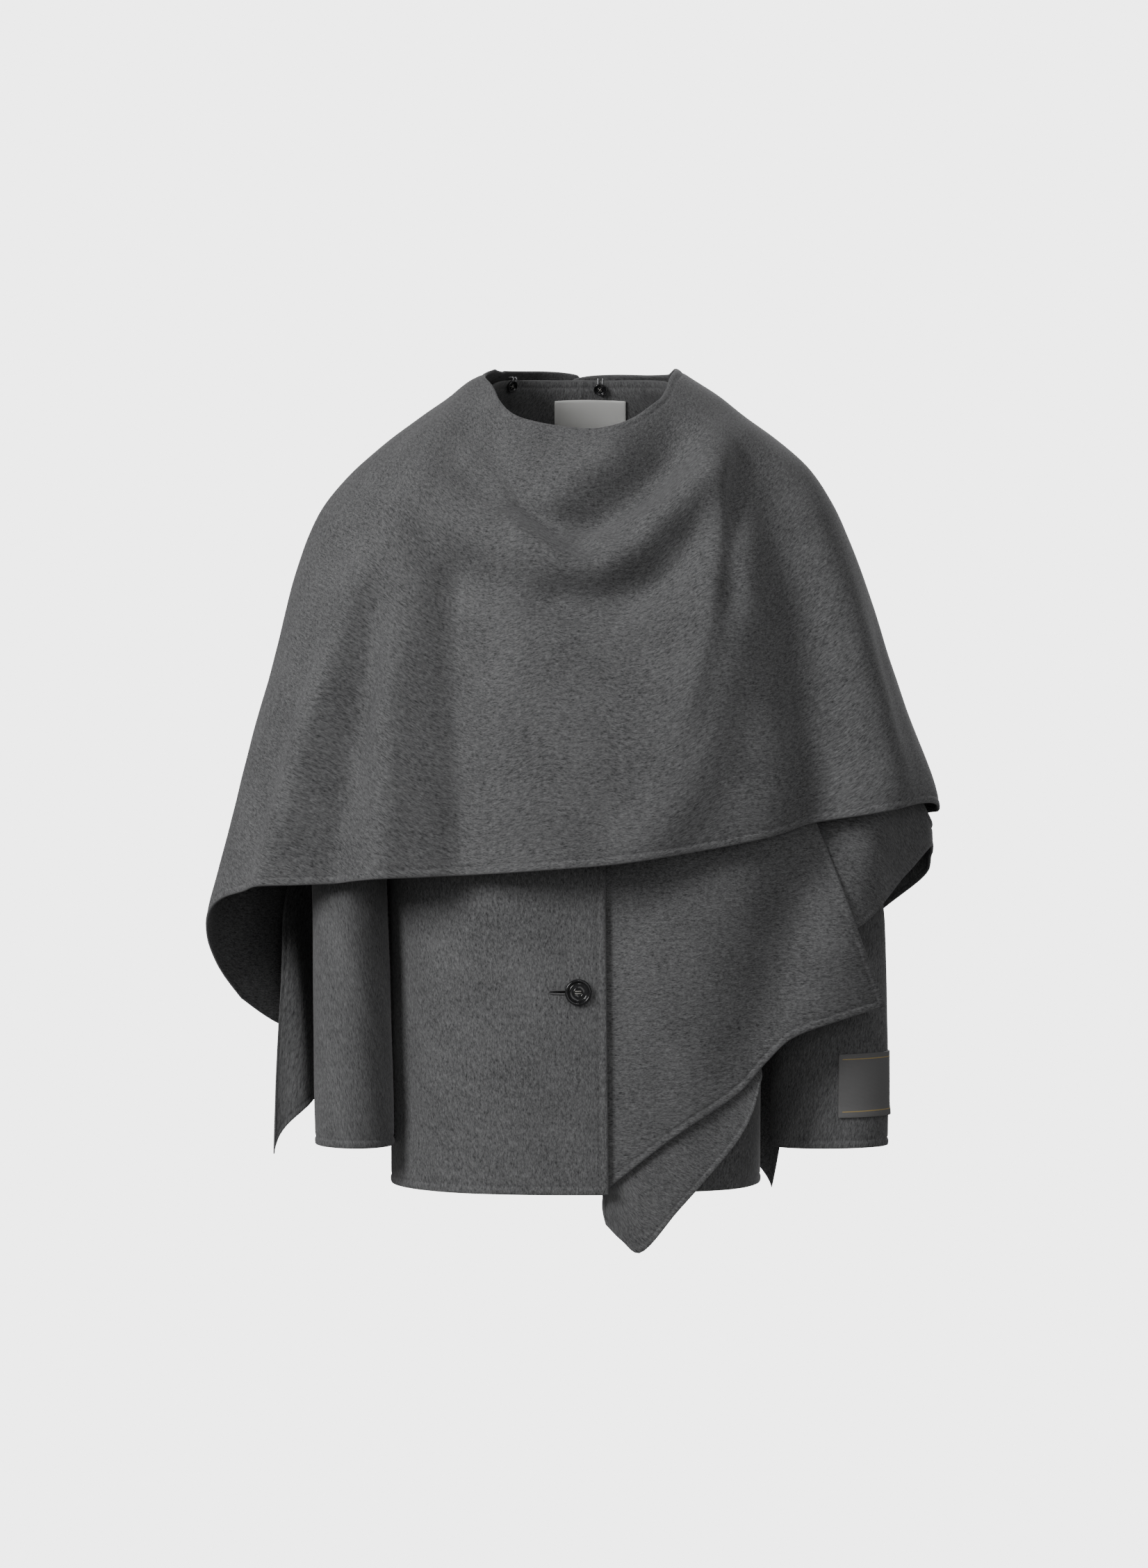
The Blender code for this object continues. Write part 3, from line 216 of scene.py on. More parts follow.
# Sleeves: inner x and z, outer x and z, half depth and middle y of each section.
SLEEVE_RIGHT = (
    (182.0, -256.0, 198.0, -64.0, 64.0, 0.0),
    (183.0, -268.0, 224.0, -96.0, 64.0, -2.0),
    (182.0, -288.0, 240.0, -150.0, 62.0, -6.0),
    (180.0, -325.0, 245.0, -240.0, 60.0, -16.0),
    (176.0, -400.0, 244.0, -370.0, 57.0, -34.0),
    (172.0, -490.0, 241.0, -480.0, 54.0, -48.0),
    (169.0, -585.0, 239.5, -580.0, 51.0, -56.0),
    (166.5, -670.0, 238.0, -669.0, 49.0, -60.0),
)
SLEEVE_LEFT = (
    (182.0, -256.0, 199.0, -64.0, 64.0, 0.0),
    (184.0, -268.0, 228.0, -96.0, 62.0, 0.0),
    (184.0, -288.0, 252.0, -150.0, 58.0, 0.0),
    (183.0, -325.0, 268.0, -240.0, 52.0, -4.0),
    (180.0, -400.0, 277.0, -370.0, 46.0, -9.0),
    (178.0, -490.0, 282.0, -480.0, 42.0, -14.0),
    (177.0, -585.0, 284.0, -582.0, 39.0, -18.0),
    (176.0, -675.0, 284.0, -674.0, 38.0, -20.0),
)

WOOL_SHADE = (0.07, 0.07, 0.072, 1.0)
BLACK_HORN = (0.012, 0.012, 0.013, 1.0)
ELASTIC_GREY = (0.32, 0.32, 0.33, 1.0)
LABEL_WHITE = (0.72, 0.72, 0.70, 1.0)
LINE_GOLD = (0.34, 0.25, 0.10, 1.0)
THREAD_PALE = (0.30, 0.29, 0.27, 1.0)
LABEL_GREY = (0.125, 0.124, 0.124, 1.0)
WOOL_DARK = (0.030, 0.030, 0.031, 1.0)
WOOL_LIGHT = (0.185, 0.186, 0.188, 1.0)

HEM_WIDTH = 6.3            # distance of the hidden hem stitches from the edge
HEM_ROLL = 0.45
HEM_GROOVE = 0.7
SCARF_WIDTH = 450.0
SCARF_STEP = 5.0
SLEEVE_AROUND = 112

FLOOR_HEIGHT = -1.43       # metres, like the rest of the stage
STAGE_RADIUS = 16.0
STAGE_GREY = (1.0, 1.0, 1.0, 1.0)
STAGE_STRENGTH = 4.2

SURROUND_STRENGTH = 0.2
CAMERA_PLACE = (-3.8, -3500.0, -344.6)
LENS = 87.2

# Lamps: name, place, target, size, power and colour.
LAMPS = (
    ("key", (-2.8, -2.6, 1.3), (0.0, 0.0, -0.35), (1.3, 1.6), 138.0, (1.0, 1.0, 1.0)),
    ("front", (1.1, -3.3, 0.3), (0.0, 0.0, -0.35), (2.0, 2.0), 19.0, (1.0, 1.0, 1.0)),
    ("neck", (0.2, -1.9, 1.6), (0.0, 0.09, 0.0), (0.5, 0.5), 7.0, (1.0, 1.0, 1.0)),
    ("back", (0.8, 3.2, 1.2), (0.0, 0.0, -0.3), (2.4, 2.4), 70.0, (1.0, 1.0, 1.0)),
)

# Creases of the body, the sleeves and the scarf: name, line of (angle, height), half width on
# the line's left and right, and depth. Left and right are as seen when one walks along the
# line on the outer face. On a sleeve the angle goes round it: 0 outer side, 90 back, -90 front.
BODY_ARC = 2.1             # millimetres of cloth for each degree round the body
SLEEVE_ARC = 0.85          # the same round a sleeve
BODY_CREASES = (
    ("button drag", ((-9.0, -532.0), (-22.0, -541.0), (-40.0, -560.0)), 12.0, 18.0, -1.5),
    ("right side hollow", ((-66.0, -430.0), (-61.0, -560.0), (-63.0, -680.0)), 18.0, 20.0, -2.2),
    ("hem wave", ((-34.0, -640.0), (-31.0, -675.0), (-33.0, -712.0)), 14.0, 20.0, -1.4),
    ("left back drag", ((146.0, -240.0), (163.0, -330.0), (171.0, -440.0), (168.0, -570.0)),
     18.0, 26.0, -3.6),
    ("right back drag", ((207.0, -260.0), (196.0, -380.0), (193.0, -530.0)), 22.0, 18.0, -3.2),
    ("left waist crease", ((116.0, -476.0), (140.0, -498.0), (166.0, -540.0)), 12.0, 19.0, -2.8),
    ("right waist crease", ((236.0, -512.0), (214.0, -556.0), (190.0, -577.0)), 16.0, 11.0, -2.5),
    ("back hem wave", ((186.0, -600.0), (183.0, -660.0), (187.0, -712.0)), 24.0, 20.0, -2.4),
)
SLEEVE_RIGHT_CREASES = (
    ("front elbow drag", ((-150.0, -392.0), (-110.0, -410.0), (-62.0, -438.0)), 7.0, 13.0, -1.8),
    ("front elbow low", ((-134.0, -458.0), (-92.0, -452.0), (-44.0, -474.0)), 8.0, 11.0, -1.4),
    ("back elbow", ((52.0, -404.0), (92.0, -416.0), (146.0, -407.0)), 9.0, 13.0, -3.0),
    ("back elbow low", ((24.0, -474.0), (66.0, -458.0), (112.0, -470.0)), 10.0, 12.0, -2.3),
    ("under the arm", ((-178.0, -300.0), (-152.0, -342.0), (-124.0, -386.0)), 10.0, 16.0, -2.6),
)
SLEEVE_LEFT_CREASES = (
    ("front elbow drag", ((-58.0, -426.0), (-96.0, -414.0), (-142.0, -432.0)), 13.0, 8.0, -1.6),
    ("back elbow", ((40.0, -430.0), (86.0, -411.0), (132.0, -421.0)), 12.0, 10.0, -2.8),
    ("back elbow low", ((18.0, -492.0), (58.0, -484.0), (104.0, -500.0)), 9.0, 14.0, -2.2),
    ("outer roll", ((12.0, -300.0), (2.0, -380.0), (8.0, -470.0)), 16.0, 20.0, -2.0),
)

# Finer folds of the scarf, which the CAD solids leave out.
MANTLE_CREASES = (
    ("throat crease", ((-54.6, 3.8), (-26.7, -36.3), (-14.4, -71.3), (-8.9, -96.7),
                       (-4.9, -115.5), (-1.8, -130.0), (1.0, -138.3), (4.1, -136.2)),
     15.0, 7.0, -9.0),
    ("throat wedge", ((-1.9, -116.6), (3.2, -107.2), (10.0, -90.4), (16.2, -73.3),
                      (21.8, -53.9), (34.4, -20.4)), 38.0, 9.0, -14.0),
    ("throat tongue", ((-2.7, -107.2), (-0.3, -77.9), (7.1, -43.8), (15.9, -21.7), (32.5, 8.0)),
     16.0, 22.0, 9.0),
    ("throat roll", ((-16.6, -88.0), (-9.0, -119.6), (-3.2, -148.5), (1.2, -156.8),
                     (6.0, -144.4), (11.3, -123.6), (18.9, -90.0), (27.6, -53.5)),
     13.0, 14.0, 7.0),
    ("second trough", ((-9.6, -175.1), (-4.7, -189.5), (0.2, -195.6), (6.2, -189.4),
                       (12.9, -166.8), (19.5, -131.6), (24.6, -87.6)), 26.0, 10.0, -9.0),
    ("left breast edge", ((59.6, -17.3), (33.0, -61.5), (26.4, -112.5), (23.2, -162.3),
                          (19.2, -215.7), (11.0, -330.0)), 10.0, 34.0, 8.0),
    ("left breast line", ((54.6, -33.2), (36.3, -69.7), (29.6, -131.0), (26.5, -162.1),
                          (23.3, -216.7)), 14.0, 9.0, -7.0),
    ("right arm edge", ((-40.3, -116.3), (-46.5, -203.1), (-51.3, -295.9), (-51.7, -440.0)),
     12.0, 30.0, 4.0),
    ("right breast line", ((-21.7, -130.3), (-21.5, -204.6), (-19.9, -296.6),
                           (-17.4, -460.0)), 7.0, 20.0, -6.0),
    ("back swag upper", ((118.0, -30.0), (148.0, -92.0), (184.0, -118.0), (220.0, -94.0),
                         (247.0, -32.0)), 13.0, 22.0, -6.0),
    ("back swag lower", ((108.0, -112.0), (146.0, -190.0), (190.0, -226.0), (230.0, -188.0),
                         (256.0, -112.0)), 15.0, 28.0, -7.0),
    ("back swag roll", ((124.0, -90.0), (156.0, -146.0), (188.0, -166.0), (218.0, -144.0),
                        (240.0, -90.0)), 18.0, 20.0, 4.5),
    ("left back fall", ((126.0, -210.0), (135.0, -300.0), (139.0, -420.0)), 14.0, 22.0, -6.0),
    ("right back fall", ((224.0, -240.0), (217.0, -330.0), (215.0, -450.0)), 20.0, 13.0, -5.5),
    ("middle back fall", ((171.0, -262.0), (177.0, -350.0), (180.0, -440.0)), 24.0, 20.0, 4.0),
)


def read_rows(rows, place, column):
    """Smooth values of one table column at places along the first column."""
    table = np.array(rows, dtype=float)
    if table[0, 0] > table[-1, 0]:
        table = table[::-1]
    places = table[:, 0]
    values = table[:, column]
    rise = np.diff(values) / np.diff(places)
    middle = (values[2:] - values[:-2]) / (places[2:] - places[:-2])
    slopes = np.concatenate((rise[:1], middle, rise[-1:]))
    place = np.clip(place, places[0], places[-1])
    low = np.clip(np.searchsorted(places, place, side="right") - 1, 0, len(places) - 2)
    span = places[low + 1] - places[low]
    steepest = 3.0 * np.abs(rise[low])
    start = np.clip(slopes[low], -steepest, steepest)
    finish = np.clip(slopes[low + 1], -steepest, steepest)
    t = (place - places[low]) / span
    return (values[low] * (1.0 + 2.0 * t) * (1.0 - t) ** 2
            + values[low + 1] * t * t * (3.0 - 2.0 * t)
            + span * start * t * (1.0 - t) ** 2
            - span * finish * t * t * (1.0 - t))


def smooth_step(low, high, value):
    """0 below low, 1 above high and a soft curve between."""
    t = np.clip((value - low) / (high - low), 0.0, 1.0)
    return t * t * (3.0 - 2.0 * t)


def unit(vectors):
    """Vectors scaled to a length of one."""
    length = np.linalg.norm(vectors, axis=-1, keepdims=True)
    return vectors / np.maximum(length, 1e-9)


def soft_noise(x, y, wavelength, seed):
    """Smooth uneven field between about -1 and 1, from a few seeded waves."""
    source = np.random.default_rng(seed)
    total = np.zeros(np.broadcast(x, y).shape)
    waves = 9
    for turn, shift, stretch in zip(source.uniform(0.0, math.pi, waves),
                                    source.uniform(0.0, 2.0 * math.pi, waves),
                                    source.uniform(0.7, 1.5, waves)):
        along = x * math.cos(turn) + y * math.sin(turn)
        total += np.sin(2.0 * math.pi * along / (wavelength * stretch) + shift)
    return total / math.sqrt(waves * 2.0)


def ring_point(rings, angle, height):
    """Points of a ringed form at angles in degrees and heights."""
    right = read_rows(rings, height, 1)
    left = read_rows(rings, height, 2)
    front = read_rows(rings, height, 3)
    back = read_rows(rings, height, 4)
    power = 2.0 / read_rows(rings, height, 5)
    turn = np.radians(angle)
    sideways = np.sin(turn)
    forward = np.cos(turn)
    reach = (left - right) / 2.0
    depth = np.where(forward > 0.0, front, -back)
    x = (left + right) / 2.0 + reach * np.sign(sideways) * np.abs(sideways) ** power
    y = depth * np.sign(forward) * np.abs(forward) ** power
    return np.stack(np.broadcast_arrays(x, y, height), axis=-1)


def ring_normal(rings, angle, height):
    """Outward directions of a ringed form."""
    across = ring_point(rings, angle + 1.0, height) - ring_point(rings, angle - 1.0, height)
    down = ring_point(rings, angle, height - 3.0) - ring_point(rings, angle, height + 3.0)
    return unit(np.cross(down, across))


def fold_depth(angle, height):
    """How far the main folds move the mantle in or out."""
    across = ring_point(MANTLE_RINGS, 90.0, height)[..., 0] / 75.0
    total = np.zeros(np.broadcast(angle, height).shape)
    for name, angle_a, height_a, angle_b, height_b, bow, sag, half_width, depth in MANTLE_FOLDS:
        middle = (angle_a + angle_b) / 2.0
        x = ((angle - middle + 180.0) % 360.0 - 180.0) * across
        start_x = (angle_a - middle) * across
        along_x = (angle_b - angle_a) * across
        along_z = height_b - height_a
        length = along_x ** 2 + along_z ** 2
        share = ((x - start_x) * along_x + (height - height_a) * along_z) / length
        share = np.clip(share, 0.0, 1.0)
        arch = 4.0 * share * (1.0 - share)
        nearest_x = start_x + along_x * share + bow * across * arch
        nearest_z = height_a + along_z * share + sag * arch
        away = ((x - nearest_x) ** 2 + (height - nearest_z) ** 2) / half_width ** 2
        total += depth * (0.25 + 0.75 * arch) * np.exp(-away)
    return total


def bend_line(line, pieces):
    """Smooth line through a few points, as many short pieces."""
    knots = np.array(line, dtype=float)
    table = [(float(k),) + tuple(row) for k, row in enumerate(knots)]
    places = np.linspace(0.0, len(knots) - 1.0, pieces + 1)
    return np.stack([read_rows(table, places, k) for k in (1, 2)], axis=-1)


def crease_depth(creases, x_scale, angle, height):
    """How far the finer folds move a cloth in or out, from their lines."""
    total = np.zeros(np.broadcast(angle, height).shape)
    for number, (name, line, left_width, right_width, depth) in enumerate(creases):
        middle = line[len(line) // 2][0]
        bent = bend_line([(a - middle, h) for a, h in line], 20)
        turned = (angle - middle + 180.0) % 360.0 - 180.0
        best = np.full(total.shape, 1e12)
        side = np.zeros(total.shape)
        share = np.zeros(total.shape)
        for k in range(len(bent) - 1):
            start_x = bent[k, 0] * x_scale
            along_x = (bent[k + 1, 0] - bent[k, 0]) * x_scale
            along_z = bent[k + 1, 1] - bent[k, 1]
            off_x = turned * x_scale - start_x
            off_z = height - bent[k, 1]
            t = np.clip((off_x * along_x + off_z * along_z) / (along_x ** 2 + along_z ** 2), 0, 1)
            away = (off_x - along_x * t) ** 2 + (off_z - along_z * t) ** 2
            closer = away < best
            best = np.where(closer, away, best)
            side = np.where(closer, along_x * off_z - along_z * off_x, side)
            share = np.where(closer, (k + t) / (len(bent) - 1), share)
        width = np.where(side > 0.0, left_width, right_width)
        fade = smooth_step(0.0, 0.22, share + 0.04) * smooth_step(1.0, 0.78, share - 0.04)
        wander = 1.0 + 0.18 * soft_noise(share * 100.0, 0.0 * share, 60.0, 40 + number)
        total += depth * wander * fade * np.exp(-best / width ** 2)
    return total


def arc_scale(height):
    """Millimetres of cloth for each degree round the mantle."""
    return ring_point(MANTLE_RINGS, 90.0, height)[..., 0] / 75.0


def mantle_point(angle, height, inset, creases):
    """Points of the folded mantle, moved in by an inset."""
    base = ring_point(MANTLE_RINGS, angle, height)
    normal = ring_normal(MANTLE_RINGS, angle, height)
    scale = arc_scale(height)
    out = fold_depth(angle, height) + crease_depth(creases, scale, angle, height) - inset
    out = out + 0.7 * soft_noise(angle * scale, height, 130.0, 3)
    out = out + 0.22 * soft_noise(angle * scale, height, 48.0, 4)
    return base + normal * out[..., None]


def body_point(angle, height, inset):
    """Points of the coat body with its soft creases, moved in by an inset."""
    base = ring_point(BODY_RINGS, angle, height)
    out = crease_depth(BODY_CREASES, BODY_ARC, angle, height) - np.asarray(inset)
    out = out + 0.5 * soft_noise(angle * BODY_ARC, height, 120.0, 7)
    return base + ring_normal(BODY_RINGS, angle, height) * out[..., None]


def grid_normals(points, closed):
    """Outward directions of a grid of points, rows downward and columns along."""
    if closed:
        across = np.roll(points, -1, axis=1) - np.roll(points, 1, axis=1)
    else:
        across = np.gradient(points, axis=1)
    down = np.gradient(points, axis=0)
    return unit(np.cross(down, across))


def edge_distance(points, free_edges):
    """Distance in the cloth from each point of a grid to its nearest free edge."""
    steps = np.linalg.norm(np.diff(points, axis=0), axis=-1)
    from_top = np.concatenate((np.zeros((1, points.shape[1])), np.cumsum(steps, axis=0)))
    steps = np.linalg.norm(np.diff(points, axis=1), axis=-1)
    from_start = np.concatenate((np.zeros((points.shape[0], 1)), np.cumsum(steps, axis=1)), axis=1)
    distances = {"top": from_top, "bottom": from_top[-1:] - from_top,
                 "start": from_start, "finish": from_start[:, -1:] - from_start}
    nearest = np.full(from_top.shape, 1e6)
    for edge in free_edges:
        nearest = np.minimum(nearest, distances[edge])
    return nearest


def turned_edge(distance):
    """Height of a double-faced hem: a soft roll, and the groove of its hidden stitches."""
    roll = HEM_ROLL * np.exp(-((distance - 2.8) / 2.6) ** 2)
    groove = HEM_GROOVE * np.exp(-((distance - HEM_WIDTH) / 1.3) ** 2)
    return roll - groove


def shares(length, step, fine_start, fine_finish):
    """Shares of the way across a cloth, finer beside its free edges."""
    fine = [0.0, 0.9, 2.4, 4.2, 5.4, 6.3, 7.2, 8.6, 11.0]
    start = fine if fine_start else [0.0]
    finish = fine if fine_finish else [0.0]
    middle = length - start[-1] - finish[-1]
    count = max(2, round(middle / step))
    between = [start[-1] + middle * k / count for k in range(1, count)]
    places = start + between + [length - place for place in finish[::-1]]
    return np.array(places) / length


def cloth_mesh(name, outer, wall, free_edges, closed):
    """Closed thin shell below a grid of outer points, with rounded edges."""
    normals = grid_normals(outer, closed)
    inner = outer - normals * wall
    if free_edges:
        relief = turned_edge(edge_distance(outer, free_edges))[..., None]
        outer = outer + normals * relief
        inner = inner - normals * relief * 0.6
    rows, columns = outer.shape[:2]
    index = np.arange(rows * columns).reshape(rows, columns)
    right = np.roll(index, -1, axis=1) if closed else index[:, 1:]
    left = index if closed else index[:, :-1]
    quads = np.stack((left[:-1], left[1:], right[1:], right[:-1]), axis=-1).reshape(-1, 4)
    points = [outer.reshape(-1, 3), inner.reshape(-1, 3)]
    faces = [quads, quads[:, ::-1] + rows * columns]
    used = 2 * rows * columns
    if closed:
        rims = [(index[0], outer[0] - outer[1]), (index[-1], outer[-1] - outer[-2])]
        flips = (True, False)
    else:
        loop = np.concatenate((index[0], index[1:, -1], index[-1, -2::-1], index[-2:0:-1, 0]))
        away = np.concatenate((outer[0] - outer[1], (outer[:, -1] - outer[:, -2])[1:],
                               (outer[-1] - outer[-2])[-2::-1],
                               (outer[:, 0] - outer[:, 1])[-2:0:-1]))
        rims = [(loop, away)]
        flips = (True,)
    for (loop, away), flip in zip(rims, flips):
        middle = (points[0][loop] + points[1][loop]) / 2.0
        half = points[0][loop] - middle
        rings = [loop]
        for lift, bulge in ((0.75, 0.28), (0.0, 0.42), (-0.75, 0.28)):
            ring = middle + half * lift + unit(away) * wall * bulge
            points.append(ring)
            rings.append(np.arange(used, used + len(loop)))
            used += len(loop)
        rings.append(loop + rows * columns)
        for near, far in zip(rings, rings[1:]):
            strip = np.stack((near, np.roll(near, -1), np.roll(far, -1), far), axis=-1)
            faces.append(strip if flip else strip[:, ::-1])
    points = np.concatenate(points) * MM
    faces = np.concatenate(faces)
    mesh = bpy.data.meshes.new(name)
    mesh.from_pydata(points.tolist(), [], faces.tolist())
    mesh.polygons.foreach_set("use_smooth", np.ones(len(faces), dtype=bool))
    add_cloth_map(mesh, outer, rows * columns, index)
    mesh.update()
    return mesh


def add_cloth_map(mesh, outer, count, index):
    """UV map in metres of cloth, along its columns and down its rows, on both faces."""
    along = np.linalg.norm(np.diff(outer, axis=1), axis=-1).mean(axis=0)
    along = np.concatenate(([0.0], np.cumsum(along))) * MM
    down = np.linalg.norm(np.diff(outer, axis=0), axis=-1)
    down = np.concatenate((np.zeros((1, outer.shape[1])), np.cumsum(down, axis=0))) * MM
    flat = np.zeros((len(mesh.vertices), 2))
    flat[:count, 0] = np.broadcast_to(along, index.shape).reshape(-1)
    flat[:count, 1] = -down.reshape(-1)
    flat[count:2 * count] = flat[:count]
    layer = mesh.uv_layers.new(name="cloth")
    corners = np.zeros(len(mesh.loops), dtype=np.int32)
    mesh.loops.foreach_get("vertex_index", corners)
    layer.data.foreach_set("uv", flat[corners].reshape(-1))


def add_piece(name, mesh, material, nodes):
    """Object for a finished mesh, riding on the one body and standing for its CAD nodes."""
    piece = bpy.data.objects.new(name, mesh)
    if not mesh.materials:
        mesh.materials.append(material)
    bpy.context.scene.collection.objects.link(piece)
    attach(piece, "root")
    if nodes:
        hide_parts(*nodes)
    return piece


def apply_modifiers(piece):
    """Make what the modifiers show the piece's own mesh."""
    graph = bpy.context.evaluated_depsgraph_get()
    finished = bpy.data.meshes.new_from_object(piece.evaluated_get(graph))
    piece.modifiers.clear()
    piece.data = finished


def ruled_places(top, hem, along, down, arch):
    """Angles and heights of a stretch between its top and hem edges."""
    share, depth = np.meshgrid(along, down)
    angle_top = read_rows(top, share, 1)
    height_top = read_rows(top, share, 2)
    angle = angle_top + (read_rows(hem, share, 1) - angle_top) * depth
    height = height_top + (read_rows(hem, share, 2) - height_top) * depth
    height = height + arch * np.sin(math.pi * depth) ** 0.7 * share ** 4
    return angle, height


def scarf_back_inset(angle, height):
    """The outer stretch over the back dips under the front stretch at the left arm."""
    return LAYER_STEP * (1.0 - smooth_step(97.0, 104.0, angle))


def scarf_arm_inset(angle, height):
    """The stretch round the left arm runs under the front stretch."""
    return LAYER_STEP + 19.0 * (1.0 - smooth_step(66.0, 98.0, angle))


def end_back_inset(angle, height):
    """The end that hangs down the back lies inside the outer stretch, more so lower down."""
    tucked = (LAYER_STEP + 0.4) * smooth_step(92.0, 101.0, angle)
    tucked = tucked + (4.0 * smooth_step(104.0, 125.0, angle)
                       * smooth_step(-120.0, -260.0, height))
    hanging = 12.0 * smooth_step(-300.0, -520.0, height) * smooth_step(180.0, 225.0, angle)
    roll = TAIL_ROLL * np.exp(-((angle - 234.0) / 5.0) ** 2) * smooth_step(-420.0, -520.0, height)
    return tucked + hanging + roll


def wrap_points():
    """Outer face of the whole wound scarf, from the end down the back to the left arm."""
    down = shares(SCARF_WIDTH, SCARF_STEP, True, True)
    plans = (
        (END_BACK_TOP, END_BACK_HEM, 900.0, 8.5, True, end_back_inset, END_BACK_ARCH, True),
        (SCARF_FRONT_TOP, SCARF_FRONT_HEM, 830.0, 4.0, False, None, 0.0, True),
        (SCARF_BACK_TOP, SCARF_BACK_HEM, 700.0, 7.0, False, scarf_back_inset, 0.0, True),
        (SCARF_ARM_TOP, SCARF_ARM_HEM, 260.0, 6.0, False, scarf_arm_inset, 0.0, True),
    )
    stretches = []
    for number, (top, hem, length, step, free, inset_at, arch, backward) in enumerate(plans):
        along = shares(length, step, free, number == len(plans) - 1)
        if backward:
            along = 1.0 - along
        if number:
            along = along[1:]
        angle, height = ruled_places(top, hem, along, down, arch)
        inset = inset_at(angle, height) if inset_at else 0.0
        stretches.append(mantle_point(angle, height, inset, MANTLE_CREASES))
    return np.concatenate(stretches, axis=1)[:, ::-1]


def mantle_front_depth(x, z, inset):
    """y of the mantle's front at an x and a z, moved in by an inset."""
    right = read_rows(MANTLE_RINGS, z, 1)
    left = read_rows(MANTLE_RINGS, z, 2)
    front = read_rows(MANTLE_RINGS, z, 3)
    squareness = read_rows(MANTLE_RINGS, z, 5)
    share = np.minimum(1.0, np.abs(x - (left + right) / 2.0) / ((left - right) / 2.0))
    angle = np.degrees(np.arcsin(share ** (squareness / 2.0)))
    depth = front * (1.0 - share ** squareness) ** (1.0 / squareness)
    return depth - fold_depth(angle, z) * np.cos(np.radians(angle)) + inset


def end_front_depth(x, z):
    """y of the free end's face: it hangs from the mantle and tucks behind the front edge."""
    out = smooth_step(END_FRONT_TUCK, END_FRONT_TUCK + END_FRONT_TUCK_WIDTH, x)
    hanging = mantle_front_depth(x, z, LAYER_STEP + SEAM + END_FRONT_GAP)
    return END_FRONT_TUCK_DEPTH + (hanging - END_FRONT_TUCK_DEPTH) * out


def end_points():
    """Free end at the left front: its face, the turn at its fold, and the flap behind."""
    radius = END_FRONT_FOLD_RADIUS
    down = shares(270.0, 4.0, False, True)
    face_along = shares(260.0, 4.0, True, False)
    flap_along = shares(150.0, 4.0, False, True)
    face = [read_rows(END_FRONT_FACE, face_along, k) for k in (1, 2, 3, 4)]
    flap = [read_rows(END_FRONT_FLAP, flap_along, k) for k in (1, 2, 3, 4)]
    turn = np.linspace(0.0, 1.0, 9)[1:-1]
    fold = [a[-1] + (b[0] - a[-1]) * turn for a, b in zip(face, flap)]
    edges = [np.concatenate(parts) for parts in zip(face, fold, flap)]
    around = np.concatenate((face_along * 0.0, turn, flap_along * 0.0 + 1.0)) * math.pi
    deep = down[:, None]
    x = edges[0] + (edges[2] - edges[0]) * deep
    z = edges[1] + (edges[3] - edges[1]) * deep
    y = end_front_depth(x, z) + radius * (1.0 - np.cos(around))
    x = x - radius * np.sin(around)
    points = np.stack((x, y, z), axis=-1)[:, ::-1]
    return points


def front_angle(x, height):
    """Angle of the body form's front at an x and a height."""
    left = read_rows(BODY_RINGS, height, 2)
    right = read_rows(BODY_RINGS, height, 1)
    share = (x - (left + right) / 2.0) / ((left - right) / 2.0)
    squareness = read_rows(BODY_RINGS, height, 5)
    return np.degrees(np.arcsin(np.sign(share) * np.abs(share) ** (squareness / 2.0)))


def panel_points(start_at, finish_at, along, down, inset_at):
    """Outer face of a body panel from the neck edge to the hem."""
    share, deep = np.meshgrid(along, down)
    height = np.zeros(share.shape)
    for settle in range(4):
        angle = start_at(height) + (finish_at(height) - start_at(height)) * share
        turned = (angle + 180.0) % 360.0 - 180.0
        top = read_rows(NECK_EDGE, turned, 1)
        height = top + (HEM_HEIGHT - top) * deep
    return body_point(angle, height, inset_at(angle))


def left_front_inset(angle):
    """The left front steps back where the right front and the scarf's end lie over it."""
    return UNDERLAP_STEP * (1.0 - smooth_step(12.0, 62.0, angle))


def body_side_x(side, y, z):
    """x of the body's side at a y and a z."""
    middle = (read_rows(BODY_RINGS, z, 2) + read_rows(BODY_RINGS, z, 1)) / 2.0
    reach = (read_rows(BODY_RINGS, z, 2) - read_rows(BODY_RINGS, z, 1)) / 2.0
    front = np.abs(read_rows(BODY_RINGS, z, 3))
    back = np.abs(read_rows(BODY_RINGS, z, 4))
    depth = np.where(y < 0.0, front, back)
    squareness = read_rows(BODY_RINGS, z, 5)
    return middle + side * reach * (1.0 - (np.abs(y) / depth) ** squareness) ** (1.0 / squareness)


def sleeve_ring(side, sections, place, turn):
    """Points of a sleeve's form at a place down its sections and a turn round it."""
    table = [(float(k),) + row for k, row in enumerate(sections)]
    inner_x, inner_z, outer_x, outer_z, depth, middle = (
        read_rows(table, place, k) for k in range(1, 7))
    out = 0.5 + 0.5 * np.cos(turn)
    x = side * (inner_x + (outer_x - inner_x) * out)
    z = inner_z + (outer_z - inner_z) * out
    return np.stack((x, middle + depth * np.sin(turn), z), axis=-1)


